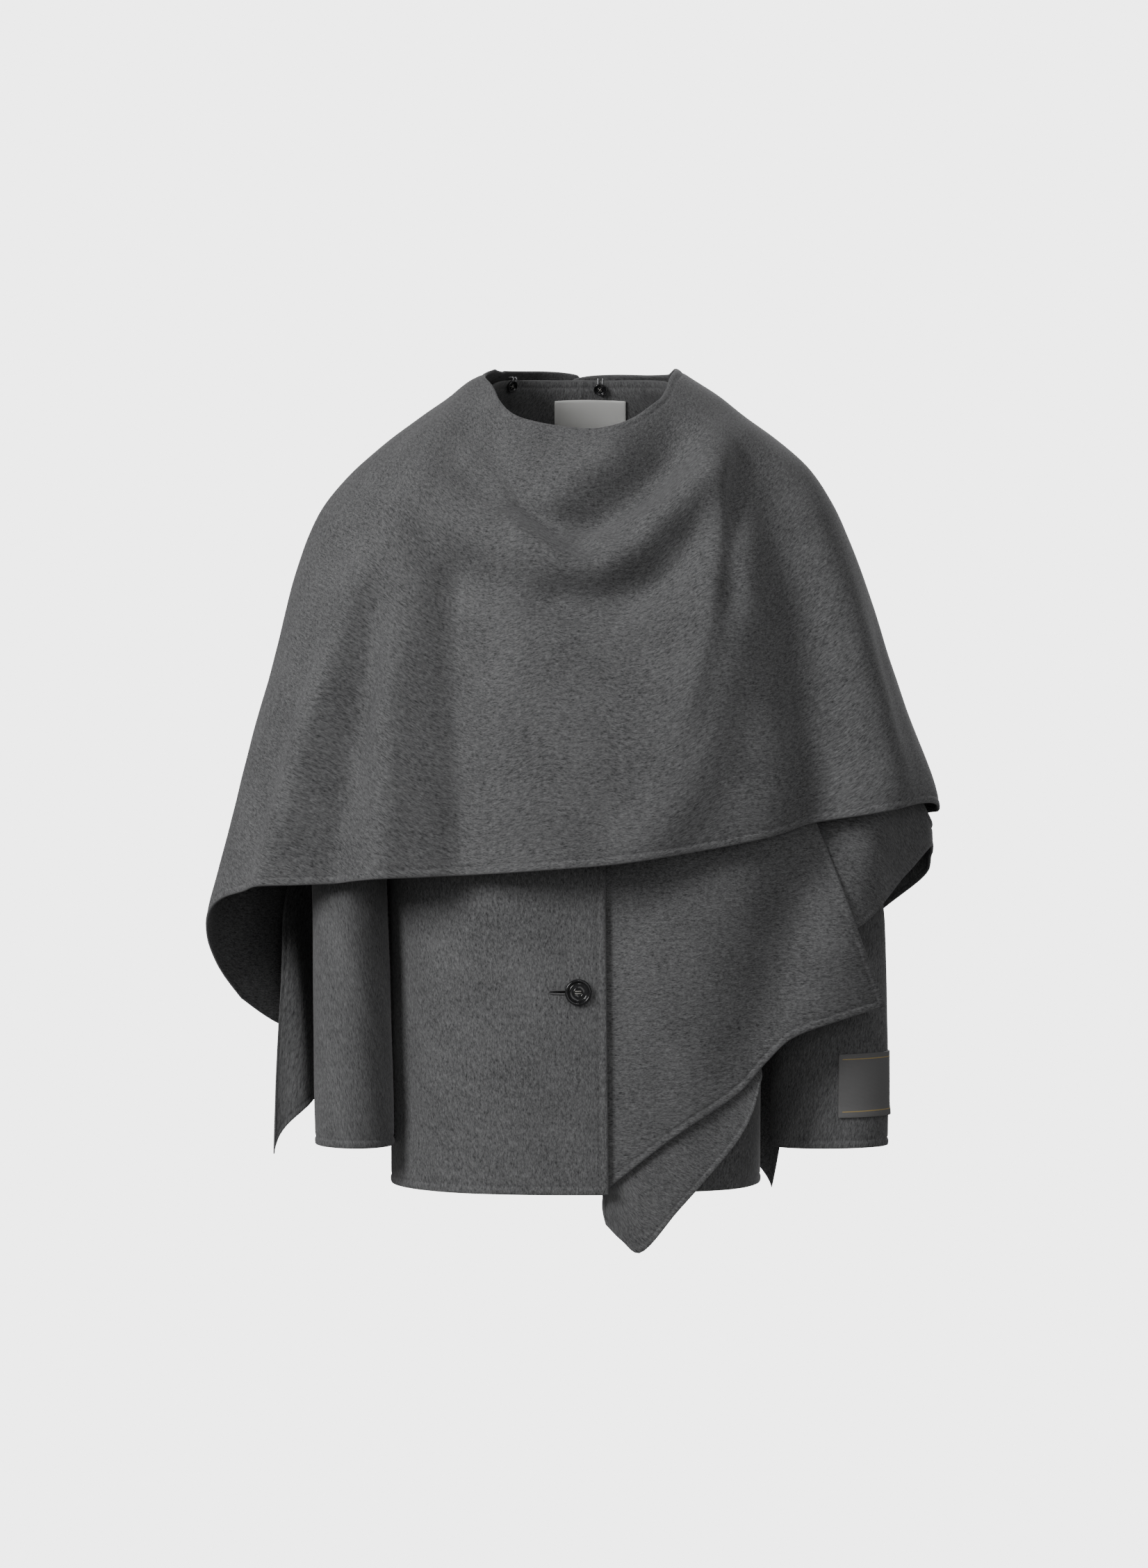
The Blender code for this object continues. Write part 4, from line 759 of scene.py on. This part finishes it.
def sleeve_points(side, sections, creases):
    """Outer face of a sleeve, from the armhole's line on the body down to the cuff."""
    turn = 2.0 * math.pi * np.arange(SLEEVE_AROUND) / SLEEVE_AROUND
    y = (ARMHOLE_HALF_DEPTH - SEAM - 0.2) * np.sin(turn)
    z = ARMHOLE_MIDDLE + (ARMHOLE_HALF_HEIGHT - SEAM - 0.2) * np.cos(turn)
    seam_x = body_side_x(side, y, z)
    rings = [np.stack((seam_x - side * WALL, y, z), axis=-1),
             np.stack((seam_x + side * 2.0, y, z), axis=-1)]
    last = len(sections) - 1.0
    places = shares(last * 100.0, 5.0, False, True) * last
    for place in places:
        rings.append(sleeve_ring(side, sections, place, turn))
    points = np.stack(rings)
    settled = smooth_step(1.5, 3.0, np.concatenate(([0.0, 0.0], places)))[:, None]
    degrees = np.broadcast_to(np.degrees(turn), points.shape[:2])
    depth = crease_depth(creases, SLEEVE_ARC, degrees, points[..., 2]) * settled
    depth = depth + 0.5 * settled * soft_noise(points[..., 1], points[..., 2], 90.0, 11)
    if side < 0.0:
        points = points[:, ::-1]
        depth = depth[:, ::-1]
    return points + grid_normals(points, True) * depth[..., None]


def back_angle(x, height):
    """Angle of the body form's back at an x and a height."""
    low = np.full(np.broadcast(x, height).shape, 120.0)
    high = np.full(low.shape, 240.0)
    for step in range(SEARCH_STEPS):
        middle = (low + high) / 2.0
        beyond = body_point(middle, height, 0.0 * middle)[..., 0] > x
        low = np.where(beyond, middle, low)
        high = np.where(beyond, high, middle)
    return (low + high) / 2.0


def neck_label_points():
    """Face of the bare neck label against the back panel, with a softly arched top edge."""
    across = np.linspace(NECK_LABEL_WIDTH / 2.0, -NECK_LABEL_WIDTH / 2.0, 30)
    share, drop = np.meshgrid(across / (NECK_LABEL_WIDTH / 2.0), np.linspace(0.0, 1.0, 22))
    arch = 1.4 * (1.0 - share ** 2) * (1.0 - drop)
    height = NECK_LABEL_TOP + arch - NECK_LABEL_HEIGHT * drop
    x = NECK_LABEL_MIDDLE + share * NECK_LABEL_WIDTH / 2.0
    return body_point(back_angle(x, height), height, WALL + 1.5 * SEAM + 0.0 * x)


def sleeve_label_points():
    """Outer face of the label round the left sleeve, whose lower edge lifts a little."""
    turn = np.radians(np.linspace(-84.0, 36.0, 64))
    trial = np.linspace(5.0, 7.0, 200)
    fall = -sleeve_ring(1.0, SLEEVE_LEFT, trial, np.full(200, turn[0]))[:, 2]
    top = np.interp(-SLEEVE_LABEL_TOP, fall, trial)
    bottom = np.interp(SLEEVE_LABEL_HEIGHT - SLEEVE_LABEL_TOP, fall, trial)
    turns, share = np.meshgrid(turn, np.linspace(0.0, 1.0, 34))
    points = sleeve_ring(1.0, SLEEVE_LEFT, top + (bottom - top) * share, turns)
    lift = LABEL_WALL + 1.5 * SEAM + 0.9 * smooth_step(0.8, 1.0, share)
    return points + grid_normals(points, False) * lift[..., None]


def add_node(tree, kind, place, **values):
    """Shader node at a place in its tree, with its settings and unlinked inputs."""
    node = tree.nodes.new(kind)
    node.location = place
    for key, value in values.items():
        if key.startswith("in_"):
            node.inputs[key[3:].replace("_", " ")].default_value = value
        else:
            setattr(node, key, value)
    return node


def new_material(name, values):
    """Material with its tree and its main shader, whose even inputs are given by name."""
    material = bpy.data.materials.new(name)
    material.use_nodes = True
    shader = material.node_tree.nodes["Principled BSDF"]
    for key, value in values.items():
        shader.inputs[key].default_value = value
    return material, material.node_tree, shader


def add_noise(tree, place, vector, scale, detail, roughness):
    """Noise read at a vector."""
    noise = add_node(tree, "ShaderNodeTexNoise", place, in_Scale=scale, in_Detail=detail,
                     in_Roughness=roughness)
    tree.links.new(vector, noise.inputs["Vector"])
    return noise.outputs["Fac"]


def add_ramp(tree, place, value, low, low_colour, high, high_colour):
    """Colour between two colours by a value between two limits."""
    ramp = add_node(tree, "ShaderNodeValToRGB", place)
    for element, limit, colour in zip(ramp.color_ramp.elements, (low, high),
                                      (low_colour, high_colour)):
        element.position = limit
        element.color = colour
    tree.links.new(value, ramp.inputs["Fac"])
    return ramp.outputs["Color"]


def add_bump(tree, place, value, shader, strength, distance):
    """Bump of a value, in metres, on a shader."""
    bump = add_node(tree, "ShaderNodeBump", place, in_Strength=strength, in_Distance=distance)
    tree.links.new(value, bump.inputs["Height"])
    tree.links.new(bump.outputs["Normal"], shader.inputs["Normal"])


def add_math(tree, operation, place, first, second, third=None):
    """Math node on two or three values, each a socket or a number."""
    node = add_node(tree, "ShaderNodeMath", place, operation=operation)
    for socket, value in zip(node.inputs, (first, second, third)):
        if isinstance(value, bpy.types.NodeSocket):
            tree.links.new(value, socket)
        elif value is not None:
            socket.default_value = value
    return node.outputs["Value"]


def tinted(colour, share):
    """A colour made darker or lighter by a share."""
    return [part * share for part in colour[:3]] + [1.0]


def wool_material(name, dark, light, nap_stretch):
    """Brushed double-faced wool: melange of dark and light fibres, with a soft nap."""
    material, tree, shader = new_material(name, {
        "Roughness": 0.88,
        "Specular IOR Level": 0.18,
        "Sheen Weight": 0.35,
        "Sheen Roughness": 0.45,
        "Sheen Tint": (0.55, 0.55, 0.56, 1.0),
    })
    cloth = add_node(tree, "ShaderNodeUVMap", (-1500, 0), uv_map="cloth")
    stretch = add_node(tree, "ShaderNodeMapping", (-1300, 0), in_Scale=nap_stretch)
    tree.links.new(cloth.outputs["UV"], stretch.inputs["Vector"])
    nap = stretch.outputs["Vector"]
    fibres = add_noise(tree, (-1050, 200), nap, 900.0, 3.0, 0.7)
    flecks = add_noise(tree, (-1050, -50), nap, 380.0, 2.0, 0.6)
    clouds = add_noise(tree, (-1050, -300), cloth.outputs["UV"], 22.0, 3.0, 0.55)
    clouded = add_math(tree, "MULTIPLY", (-800, -300), clouds, 0.12)
    flecked = add_math(tree, "MULTIPLY_ADD", (-800, -100), flecks, 0.33, clouded)
    mixed = add_math(tree, "MULTIPLY_ADD", (-800, 100), fibres, 0.55, flecked)
    colour = add_ramp(tree, (-550, 100), mixed, 0.36, dark, 0.66, light)
    tree.links.new(colour, shader.inputs["Base Color"])
    add_bump(tree, (-300, -250), mixed, shader, 0.55, 0.0006)
    return material


def mottled_material(name, colour, roughness, scale, change, bump_depth):
    """Small hard or smooth piece: fine mottling in its colour and gloss, and a slight bump."""
    material, tree, shader = new_material(name, {})
    place = add_node(tree, "ShaderNodeTexCoord", (-1100, 0))
    mottle = add_noise(tree, (-900, 0), place.outputs["Object"], scale, 3.0, 0.6)
    shade = add_ramp(tree, (-650, 150), mottle, 0.32, tinted(colour, 1.0 - change),
                     0.68, tinted(colour, 1.0 + change))
    tree.links.new(shade, shader.inputs["Base Color"])
    gloss = add_node(tree, "ShaderNodeMapRange", (-650, -150))
    gloss.inputs["To Min"].default_value = roughness * 0.8
    gloss.inputs["To Max"].default_value = roughness * 1.25
    tree.links.new(mottle, gloss.inputs["Value"])
    tree.links.new(gloss.outputs["Result"], shader.inputs["Roughness"])
    add_bump(tree, (-350, -300), mottle, shader, 0.4, bump_depth)
    return material


def label_material(name, colour, roughness, line_colour, line_drops, line_start):
    """Woven satin of a label, with thin plain lines at some distances below its top edge."""
    material, tree, shader = new_material(name, {"Roughness": roughness})
    cloth = add_node(tree, "ShaderNodeUVMap", (-1500, 0), uv_map="cloth")
    weave = add_node(tree, "ShaderNodeTexWave", (-1250, 200), bands_direction="Y",
                     in_Scale=420.0, in_Distortion=1.5, in_Detail=2.0)
    tree.links.new(cloth.outputs["UV"], weave.inputs["Vector"])
    woven = weave.outputs["Fac"]
    shade = add_ramp(tree, (-1000, 200), woven, 0.0, tinted(colour, 0.88),
                     1.0, tinted(colour, 1.06))
    if line_drops:
        split = add_node(tree, "ShaderNodeSeparateXYZ", (-1250, -200))
        tree.links.new(cloth.outputs["UV"], split.inputs["Vector"])
        lines = 0.0
        for number, drop in enumerate(line_drops):
            line = add_math(tree, "COMPARE", (-1000, -300 - 160 * number), split.outputs["Y"],
                            -drop, LABEL_LINE_WIDTH / 2.0)
            lines = add_math(tree, "MAXIMUM", (-800, -300 - 160 * number), lines, line)
        shown = add_math(tree, "GREATER_THAN", (-1000, -100), split.outputs["X"], line_start)
        mixed = add_node(tree, "ShaderNodeMix", (-450, 100), data_type="RGBA")
        tree.links.new(add_math(tree, "MULTIPLY", (-650, -200), lines, shown),
                       mixed.inputs["Factor"])
        plain, lined = [socket for socket in mixed.inputs if socket.type == "RGBA"]
        tree.links.new(shade, plain)
        lined.default_value = line_colour
        shade = [socket for socket in mixed.outputs if socket.type == "RGBA"][0]
    tree.links.new(shade, shader.inputs["Base Color"])
    add_bump(tree, (-300, -250), woven, shader, 0.3, 0.0002)
    return material


def turned_mesh(name, profile):
    """Mesh turned about Z from a profile of radius and height that starts and ends on Z."""
    shape = bmesh.new()
    spots = [shape.verts.new((radius * MM, 0.0, rise * MM)) for radius, rise in profile]
    edges = [shape.edges.new(pair) for pair in zip(spots, spots[1:])]
    bmesh.ops.spin(shape, geom=spots + edges, cent=(0.0, 0.0, 0.0), axis=(0.0, 0.0, 1.0),
                   angle=2.0 * math.pi, steps=72, use_merge=True)
    bmesh.ops.remove_doubles(shape, verts=shape.verts, dist=0.000002)
    bmesh.ops.recalc_face_normals(shape, faces=shape.faces)
    for face in shape.faces:
        face.smooth = True
    mesh = bpy.data.meshes.new(name)
    shape.to_mesh(mesh)
    shape.free()
    mesh.set_sharp_from_angle(angle=math.radians(48.0))
    return mesh


def add_cutter(name, matrices, sides):
    """Helper object of cylinders along Z, each placed by its own matrix."""
    shape = bmesh.new()
    for matrix in matrices:
        bmesh.ops.create_cone(shape, cap_ends=True, segments=sides, radius1=1.0, radius2=1.0,
                              depth=1.0, matrix=matrix)
    mesh = bpy.data.meshes.new(name)
    shape.to_mesh(mesh)
    shape.free()
    cutter = bpy.data.objects.new(name, mesh)
    bpy.context.scene.collection.objects.link(cutter)
    return cutter


def cut_away(piece, cutter):
    """Take a helper's volume out of a piece and remove the helper."""
    cutting = piece.modifiers.new("cut", "BOOLEAN")
    cutting.operation = "DIFFERENCE"
    cutting.solver = "EXACT"
    cutting.object = cutter
    apply_modifiers(piece)
    piece.data.set_sharp_from_angle(angle=math.radians(50.0))
    bpy.data.objects.remove(cutter, do_unlink=True)


def button_profile(radius, thick, shank_radius, shank):
    """Half outline of a button: dished face with fine rings, a raised rim and a shank."""
    shares_out = ((0.0, 0.56), (0.30, 0.55), (0.335, 0.61), (0.37, 0.55), (0.60, 0.53),
                  (0.645, 0.61), (0.69, 0.55), (0.75, 0.66), (0.80, 0.90), (0.85, 1.0),
                  (0.91, 0.99), (0.96, 0.88), (0.99, 0.70), (1.0, 0.52), (0.99, 0.34),
                  (0.96, 0.14), (0.9, 0.0))
    outline = [(radius * out, thick * up) for out, up in shares_out]
    return outline + [(shank_radius, 0.0), (shank_radius, -shank), (0.0, -shank)]


def add_button(name, node, radius, thick, shank, place, facing, spread, thread_lines, materials):
    """Turned button with four holes, and its sewing thread between them."""
    mesh = turned_mesh(name, button_profile(radius, thick, shank[0], shank[1]))
    horn, thread = materials
    button = add_piece(name, mesh, horn, (node,))
    turn = Vector((0.0, 0.0, 1.0)).rotation_difference(facing).to_matrix().to_4x4()
    whole = Matrix.Translation(Vector(place) * MM) @ turn
    hole = radius * 0.068 * MM
    size = Matrix.Diagonal((hole, hole, thick * 4.0 * MM, 1.0))
    spots = [(x * spread[0], y * spread[1]) for x, y in ((1, 1), (-1, 1), (-1, -1), (1, -1))]
    holes = [Matrix.Translation(Vector((x, y, 0.0)) * MM) @ size for x, y in spots]
    cut_away(button, add_cutter(name + "_holes", holes, 20))
    button.data.transform(whole)
    curve = bpy.data.curves.new(name + "_thread", "CURVE")
    curve.dimensions = "3D"
    curve.bevel_depth = radius * 0.035 * MM
    curve.bevel_resolution = 2
    curve.use_fill_caps = True
    seat = thick * 0.56
    for first, second in thread_lines:
        spline = curve.splines.new("POLY")
        start = Vector(spots[first] + (0.0,))
        finish = Vector(spots[second] + (0.0,))
        steps = ((0.0, -0.8), (0.02, 0.15), (0.1, 0.5), (0.5, 0.75), (0.9, 0.5), (0.98, 0.15),
                 (1.0, -0.8))
        spline.points.add(len(steps) - 1)
        for spot, (share, rise) in zip(spline.points, steps):
            point = start.lerp(finish, share) + Vector((0.0, 0.0, seat + rise * radius * 0.1))
            moved = whole @ (point * MM)
            spot.co = (moved.x, moved.y, moved.z, 1.0)
    add_piece(name + "_thread", curve, thread, ())
    return button


def add_buttons(horn, thread):
    """Front button on the right front, and the two small ones inside the back neck."""
    face = body_point(np.array(0.0), np.array(BUTTON_HEIGHT), np.array(0.0))
    place = (0.0, face[1] - SEAM - 0.1, BUTTON_HEIGHT)
    add_button("front_button", "button_front", BUTTON_RADIUS, BUTTON_THICK,
               (SHANK_RADIUS, UNDERLAP_STEP - 1.0), place, Vector((0.0, -1.0, 0.0)), (2.7, 1.0),
               ((0, 1), (2, 3)), (horn, thread))
    for side, x, height, scarf in NECK_BUTTONS:
        angle = back_angle(np.array(x), np.array(height))
        spot = Vector(body_point(angle, np.array(height), np.array(0.0)))
        outward = Vector(ring_normal(BODY_RINGS, angle, np.array(height)))
        place = spot - outward * (WALL + 0.1 + NECK_BUTTON_LIFT)
        add_button("inner_button_" + side, "neck_button_" + side, NECK_BUTTON_RADIUS,
                   NECK_BUTTON_THICK, (0.9, NECK_BUTTON_LIFT - 1.5 * SEAM), place, -outward,
                   (1.4, 1.4), ((0, 2), (1, 3)), (horn, thread))


def cut_openings(pieces):
    """Armholes through the body's panels, and the buttonhole's slit in the right front."""
    for side, names in ((1.0, ("coat_back_cloth", "coat_front_left_cloth")),
                        (-1.0, ("coat_back_cloth", "coat_front_right_cloth"))):
        place = Vector((side * ARMHOLE_CUTTER_X, 0.0, ARMHOLE_MIDDLE)) * MM
        lying = Matrix.Rotation(math.radians(90.0), 4, "Y")
        size = Matrix.Diagonal((ARMHOLE_CUTTER_LENGTH * MM, ARMHOLE_HALF_DEPTH * MM,
                                ARMHOLE_HALF_HEIGHT * MM, 1.0))
        for name in names:
            hole = Matrix.Translation(place) @ size @ lying
            cut_away(pieces[name], add_cutter("armhole_cutter", [hole], 96))
    middle_x = SHANK_RADIUS + 1.0 - BUTTONHOLE_LENGTH / 2.0
    face_y = body_point(np.array(0.0), np.array(BUTTON_HEIGHT), np.array(0.0))[1]
    slit = (Matrix.Translation(Vector((middle_x, face_y, BUTTON_HEIGHT)) * MM)
            @ Matrix.Diagonal((BUTTONHOLE_LENGTH / 2.0 * MM, 6.0 * MM, 0.75 * MM, 1.0))
            @ Matrix.Rotation(math.radians(90.0), 4, "X") @ Matrix.Diagonal((1.0, 1.0, 2.0, 1.0)))
    cut_away(pieces["coat_front_right_cloth"], add_cutter("slit_cutter", [slit], 40))


def add_buttonhole_stitches(thread):
    """Close ring of stitches round the buttonhole, on the right front's face."""
    curve = bpy.data.curves.new("buttonhole_stitches", "CURVE")
    curve.dimensions = "3D"
    curve.bevel_depth = 0.75 * MM
    curve.bevel_resolution = 2
    spline = curve.splines.new("POLY")
    spline.use_cyclic_u = True
    turns = np.linspace(0.0, 2.0 * math.pi, 73)[:-1]
    spline.points.add(len(turns) - 1)
    middle_x = SHANK_RADIUS + 1.0 - BUTTONHOLE_LENGTH / 2.0
    x = middle_x + (BUTTONHOLE_LENGTH / 2.0 + 1.2) * np.cos(turns)
    rise = 1.7 * np.sign(np.sin(turns)) * np.abs(np.sin(turns)) ** 0.5
    z = BUTTON_HEIGHT + rise
    points = body_point(front_angle(x, z), z, -0.35 + 0.0 * x)
    for spot, point in zip(spline.points, points):
        spot.co = (point[0] * MM, point[1] * MM, point[2] * MM, 1.0)
    add_piece("buttonhole_stitches", curve, thread, ())


def build_scarf(wool):
    """The wound scarf as one sheet, and its folded free end at the left front."""
    mesh = cloth_mesh("wound_scarf", wrap_points(), WALL, ("top", "bottom", "start", "finish"),
                      False)
    wrap = add_piece("wound_scarf", mesh, wool,
                     ("scarf_front", "scarf_back", "scarf_left_arm", "scarf_end_back"))
    mesh = cloth_mesh("scarf_free_end", end_points(), WALL, ("bottom", "start", "finish"), False)
    end = add_piece("scarf_free_end", mesh, wool, ("scarf_end_front",))
    return wrap, end


def build_coat(wool):
    """Back, two fronts and two sleeves."""
    down = shares(740.0, 6.0, True, True)

    def level(angle):
        return lambda height: angle

    def free_edge(height):
        x = OPENING_LEFT_EDGE - OPENING_LEAN * (height - HEM_HEIGHT)
        return 360.0 + front_angle(x, height)

    def under_edge(height):
        return front_angle(OPENING_LEFT_EDGE - UNDERLAP, height)

    plans = (
        ("coat_back_cloth", ("coat_back_left", "coat_back_right"), level(90.0), level(270.0),
         (False, False), lambda angle: CENTRE_SEAM * np.exp(-((angle - 180.0) / 0.45) ** 2)),
        ("coat_front_right_cloth", ("coat_front_right",), level(270.0), free_edge,
         (False, True), lambda angle: 0.0 * angle),
        ("coat_front_left_cloth", ("coat_front_left",), under_edge, level(90.0),
         (True, False), left_front_inset),
    )
    pieces = {}
    for name, nodes, start_at, finish_at, free, inset_at in plans:
        length = 540.0 if len(nodes) > 1 else 300.0
        along = shares(length, 6.0, *free)
        if len(nodes) > 1:
            beside = 0.5 + np.array((-2.6, -1.2, 1.2, 2.6)) / length
            along = np.unique(np.concatenate((along, [0.5], beside)))
        points = panel_points(start_at, finish_at, along, down, inset_at)
        edges = ["top", "bottom"] + [edge for edge, is_free in zip(("start", "finish"), free)
                                     if is_free]
        mesh = cloth_mesh(name, points, WALL, edges, False)
        pieces[name] = add_piece(name, mesh, wool, nodes)
    for sleeve, side, sections, creases in (
            ("sleeve_right", -1.0, SLEEVE_RIGHT, SLEEVE_RIGHT_CREASES),
            ("sleeve_left", 1.0, SLEEVE_LEFT, SLEEVE_LEFT_CREASES)):
        name = sleeve + "_cloth"
        mesh = cloth_mesh(name, sleeve_points(side, sections, creases), WALL, ("bottom",), True)
        pieces[name] = add_piece(name, mesh, wool, (sleeve + "_top", sleeve + "_under"))
    cut_openings(pieces)
    return pieces


def build_labels(white, grey):
    """Bare label inside the back neck, and the plain lined label on the left sleeve."""
    pieces = []
    for name, node, slot, points, material in (
            ("neck_label_cloth", "neck_label", "label_white", neck_label_points(), white),
            ("sleeve_label_cloth", "sleeve_label", "label_grey", sleeve_label_points(), grey)):
        mesh = cloth_mesh(name, points, LABEL_WALL, (), False)
        pieces.append(add_piece(name, mesh, material, (node,)))
    return pieces


def finish_small_nodes(nodes, materials):
    """CAD nodes that show as they are, with their own finish."""
    for name, material in materials.items():
        node = nodes[name]
        node.data.materials.clear()
        node.data.materials.append(material)


def stage_material():
    """Even pale grey of a floor and a backdrop that are lit apart from the object."""
    material, tree, shader = new_material("pale stage", {
        "Base Color": (0.0, 0.0, 0.0, 1.0),
        "Specular IOR Level": 0.0,
        "Roughness": 1.0,
        "Emission Color": STAGE_GREY,
        "Emission Strength": STAGE_STRENGTH,
    })
    return material


def add_stage():
    """Pale floor and the backdrop round it, which throw no light on the object."""
    material = stage_material()
    for name in ("floor", "backdrop"):
        mesh = bpy.data.meshes.new(name)
        shape = bmesh.new()
        if name == "floor":
            bmesh.ops.create_circle(shape, cap_ends=True, segments=96, radius=STAGE_RADIUS)
            bmesh.ops.translate(shape, vec=(0.0, 0.0, FLOOR_HEIGHT), verts=shape.verts)
        else:
            bmesh.ops.create_icosphere(shape, subdivisions=5, radius=STAGE_RADIUS)
        shape.to_mesh(mesh)
        shape.free()
        mesh.materials.append(material)
        sheet = bpy.data.objects.new(name, mesh)
        sheet.visible_diffuse = False
        sheet.visible_glossy = False
        sheet.visible_transmission = False
        sheet.visible_shadow = False
        bpy.context.scene.collection.objects.link(sheet)


def add_area_light(name, place, target, size, power, colour):
    """Soft rectangular lamp aimed at a point."""
    lamp = bpy.data.lights.new(name, "AREA")
    lamp.shape = "RECTANGLE"
    lamp.size = size[0]
    lamp.size_y = size[1]
    lamp.energy = power
    lamp.color = colour
    light = bpy.data.objects.new(name, lamp)
    light.location = place
    aim = Vector(target) - Vector(place)
    light.rotation_mode = "QUATERNION"
    light.rotation_quaternion = aim.to_track_quat("-Z", "Y")
    bpy.context.scene.collection.objects.link(light)


def add_lights():
    """Large soft key from the left, a weak fill, a lamp behind and an even dim surround."""
    world = bpy.data.worlds.new("studio")
    bpy.context.scene.world = world
    world.use_nodes = True
    surround = world.node_tree.nodes["Background"]
    surround.inputs["Color"].default_value = (1.0, 1.0, 1.0, 1.0)
    surround.inputs["Strength"].default_value = SURROUND_STRENGTH
    for lamp in LAMPS:
        add_area_light(*lamp)


def add_camera():
    """Camera level with the coat's middle, far enough for a long lens."""
    view = bpy.data.cameras.new("camera")
    view.lens = LENS
    view.sensor_width = 36.0
    view.sensor_fit = "AUTO"
    view.clip_end = 100.0
    camera = bpy.data.objects.new("camera", view)
    camera.location = Vector(CAMERA_PLACE) * MM
    camera.rotation_euler = (math.radians(90.0), 0.0, 0.0)
    bpy.context.scene.collection.objects.link(camera)
    bpy.context.scene.camera = camera


def main():
    """Load the frame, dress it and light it."""
    for leftover in list(bpy.data.objects):
        bpy.data.objects.remove(leftover, do_unlink=True)
    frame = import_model()
    wool = wool_material("wool", WOOL_DARK, WOOL_LIGHT, (1.0, 0.42, 1.0))
    scarf_wool = wool_material("scarf_wool", WOOL_DARK, WOOL_LIGHT, (0.42, 1.0, 1.0))
    wrap, end = build_scarf(scarf_wool)
    coat = build_coat(wool)
    white = label_material("label_white", LABEL_WHITE, 0.42, LINE_GOLD, (), 0.0)
    grey = label_material("label_grey", LABEL_GREY, 0.5, LINE_GOLD, LABEL_LINE_DROPS,
                          LABEL_LINE_START)
    labels = build_labels(white, grey)
    horn = mottled_material("black_horn", BLACK_HORN, 0.17, 260.0, 0.35, 0.00002)
    add_buttons(horn, mottled_material("pale_thread", THREAD_PALE, 0.6, 2600.0, 0.3, 0.0001))
    add_buttonhole_stitches(mottled_material("dark_thread", WOOL_SHADE, 0.7, 2200.0, 0.4, 0.0002))
    elastic = mottled_material("elastic", ELASTIC_GREY, 0.45, 1700.0, 0.3, 0.0001)
    finish_small_nodes(frame["nodes"], {"neck_loop_right": elastic, "neck_loop_left": elastic})
    add_stage()
    add_lights()
    add_camera()


main()
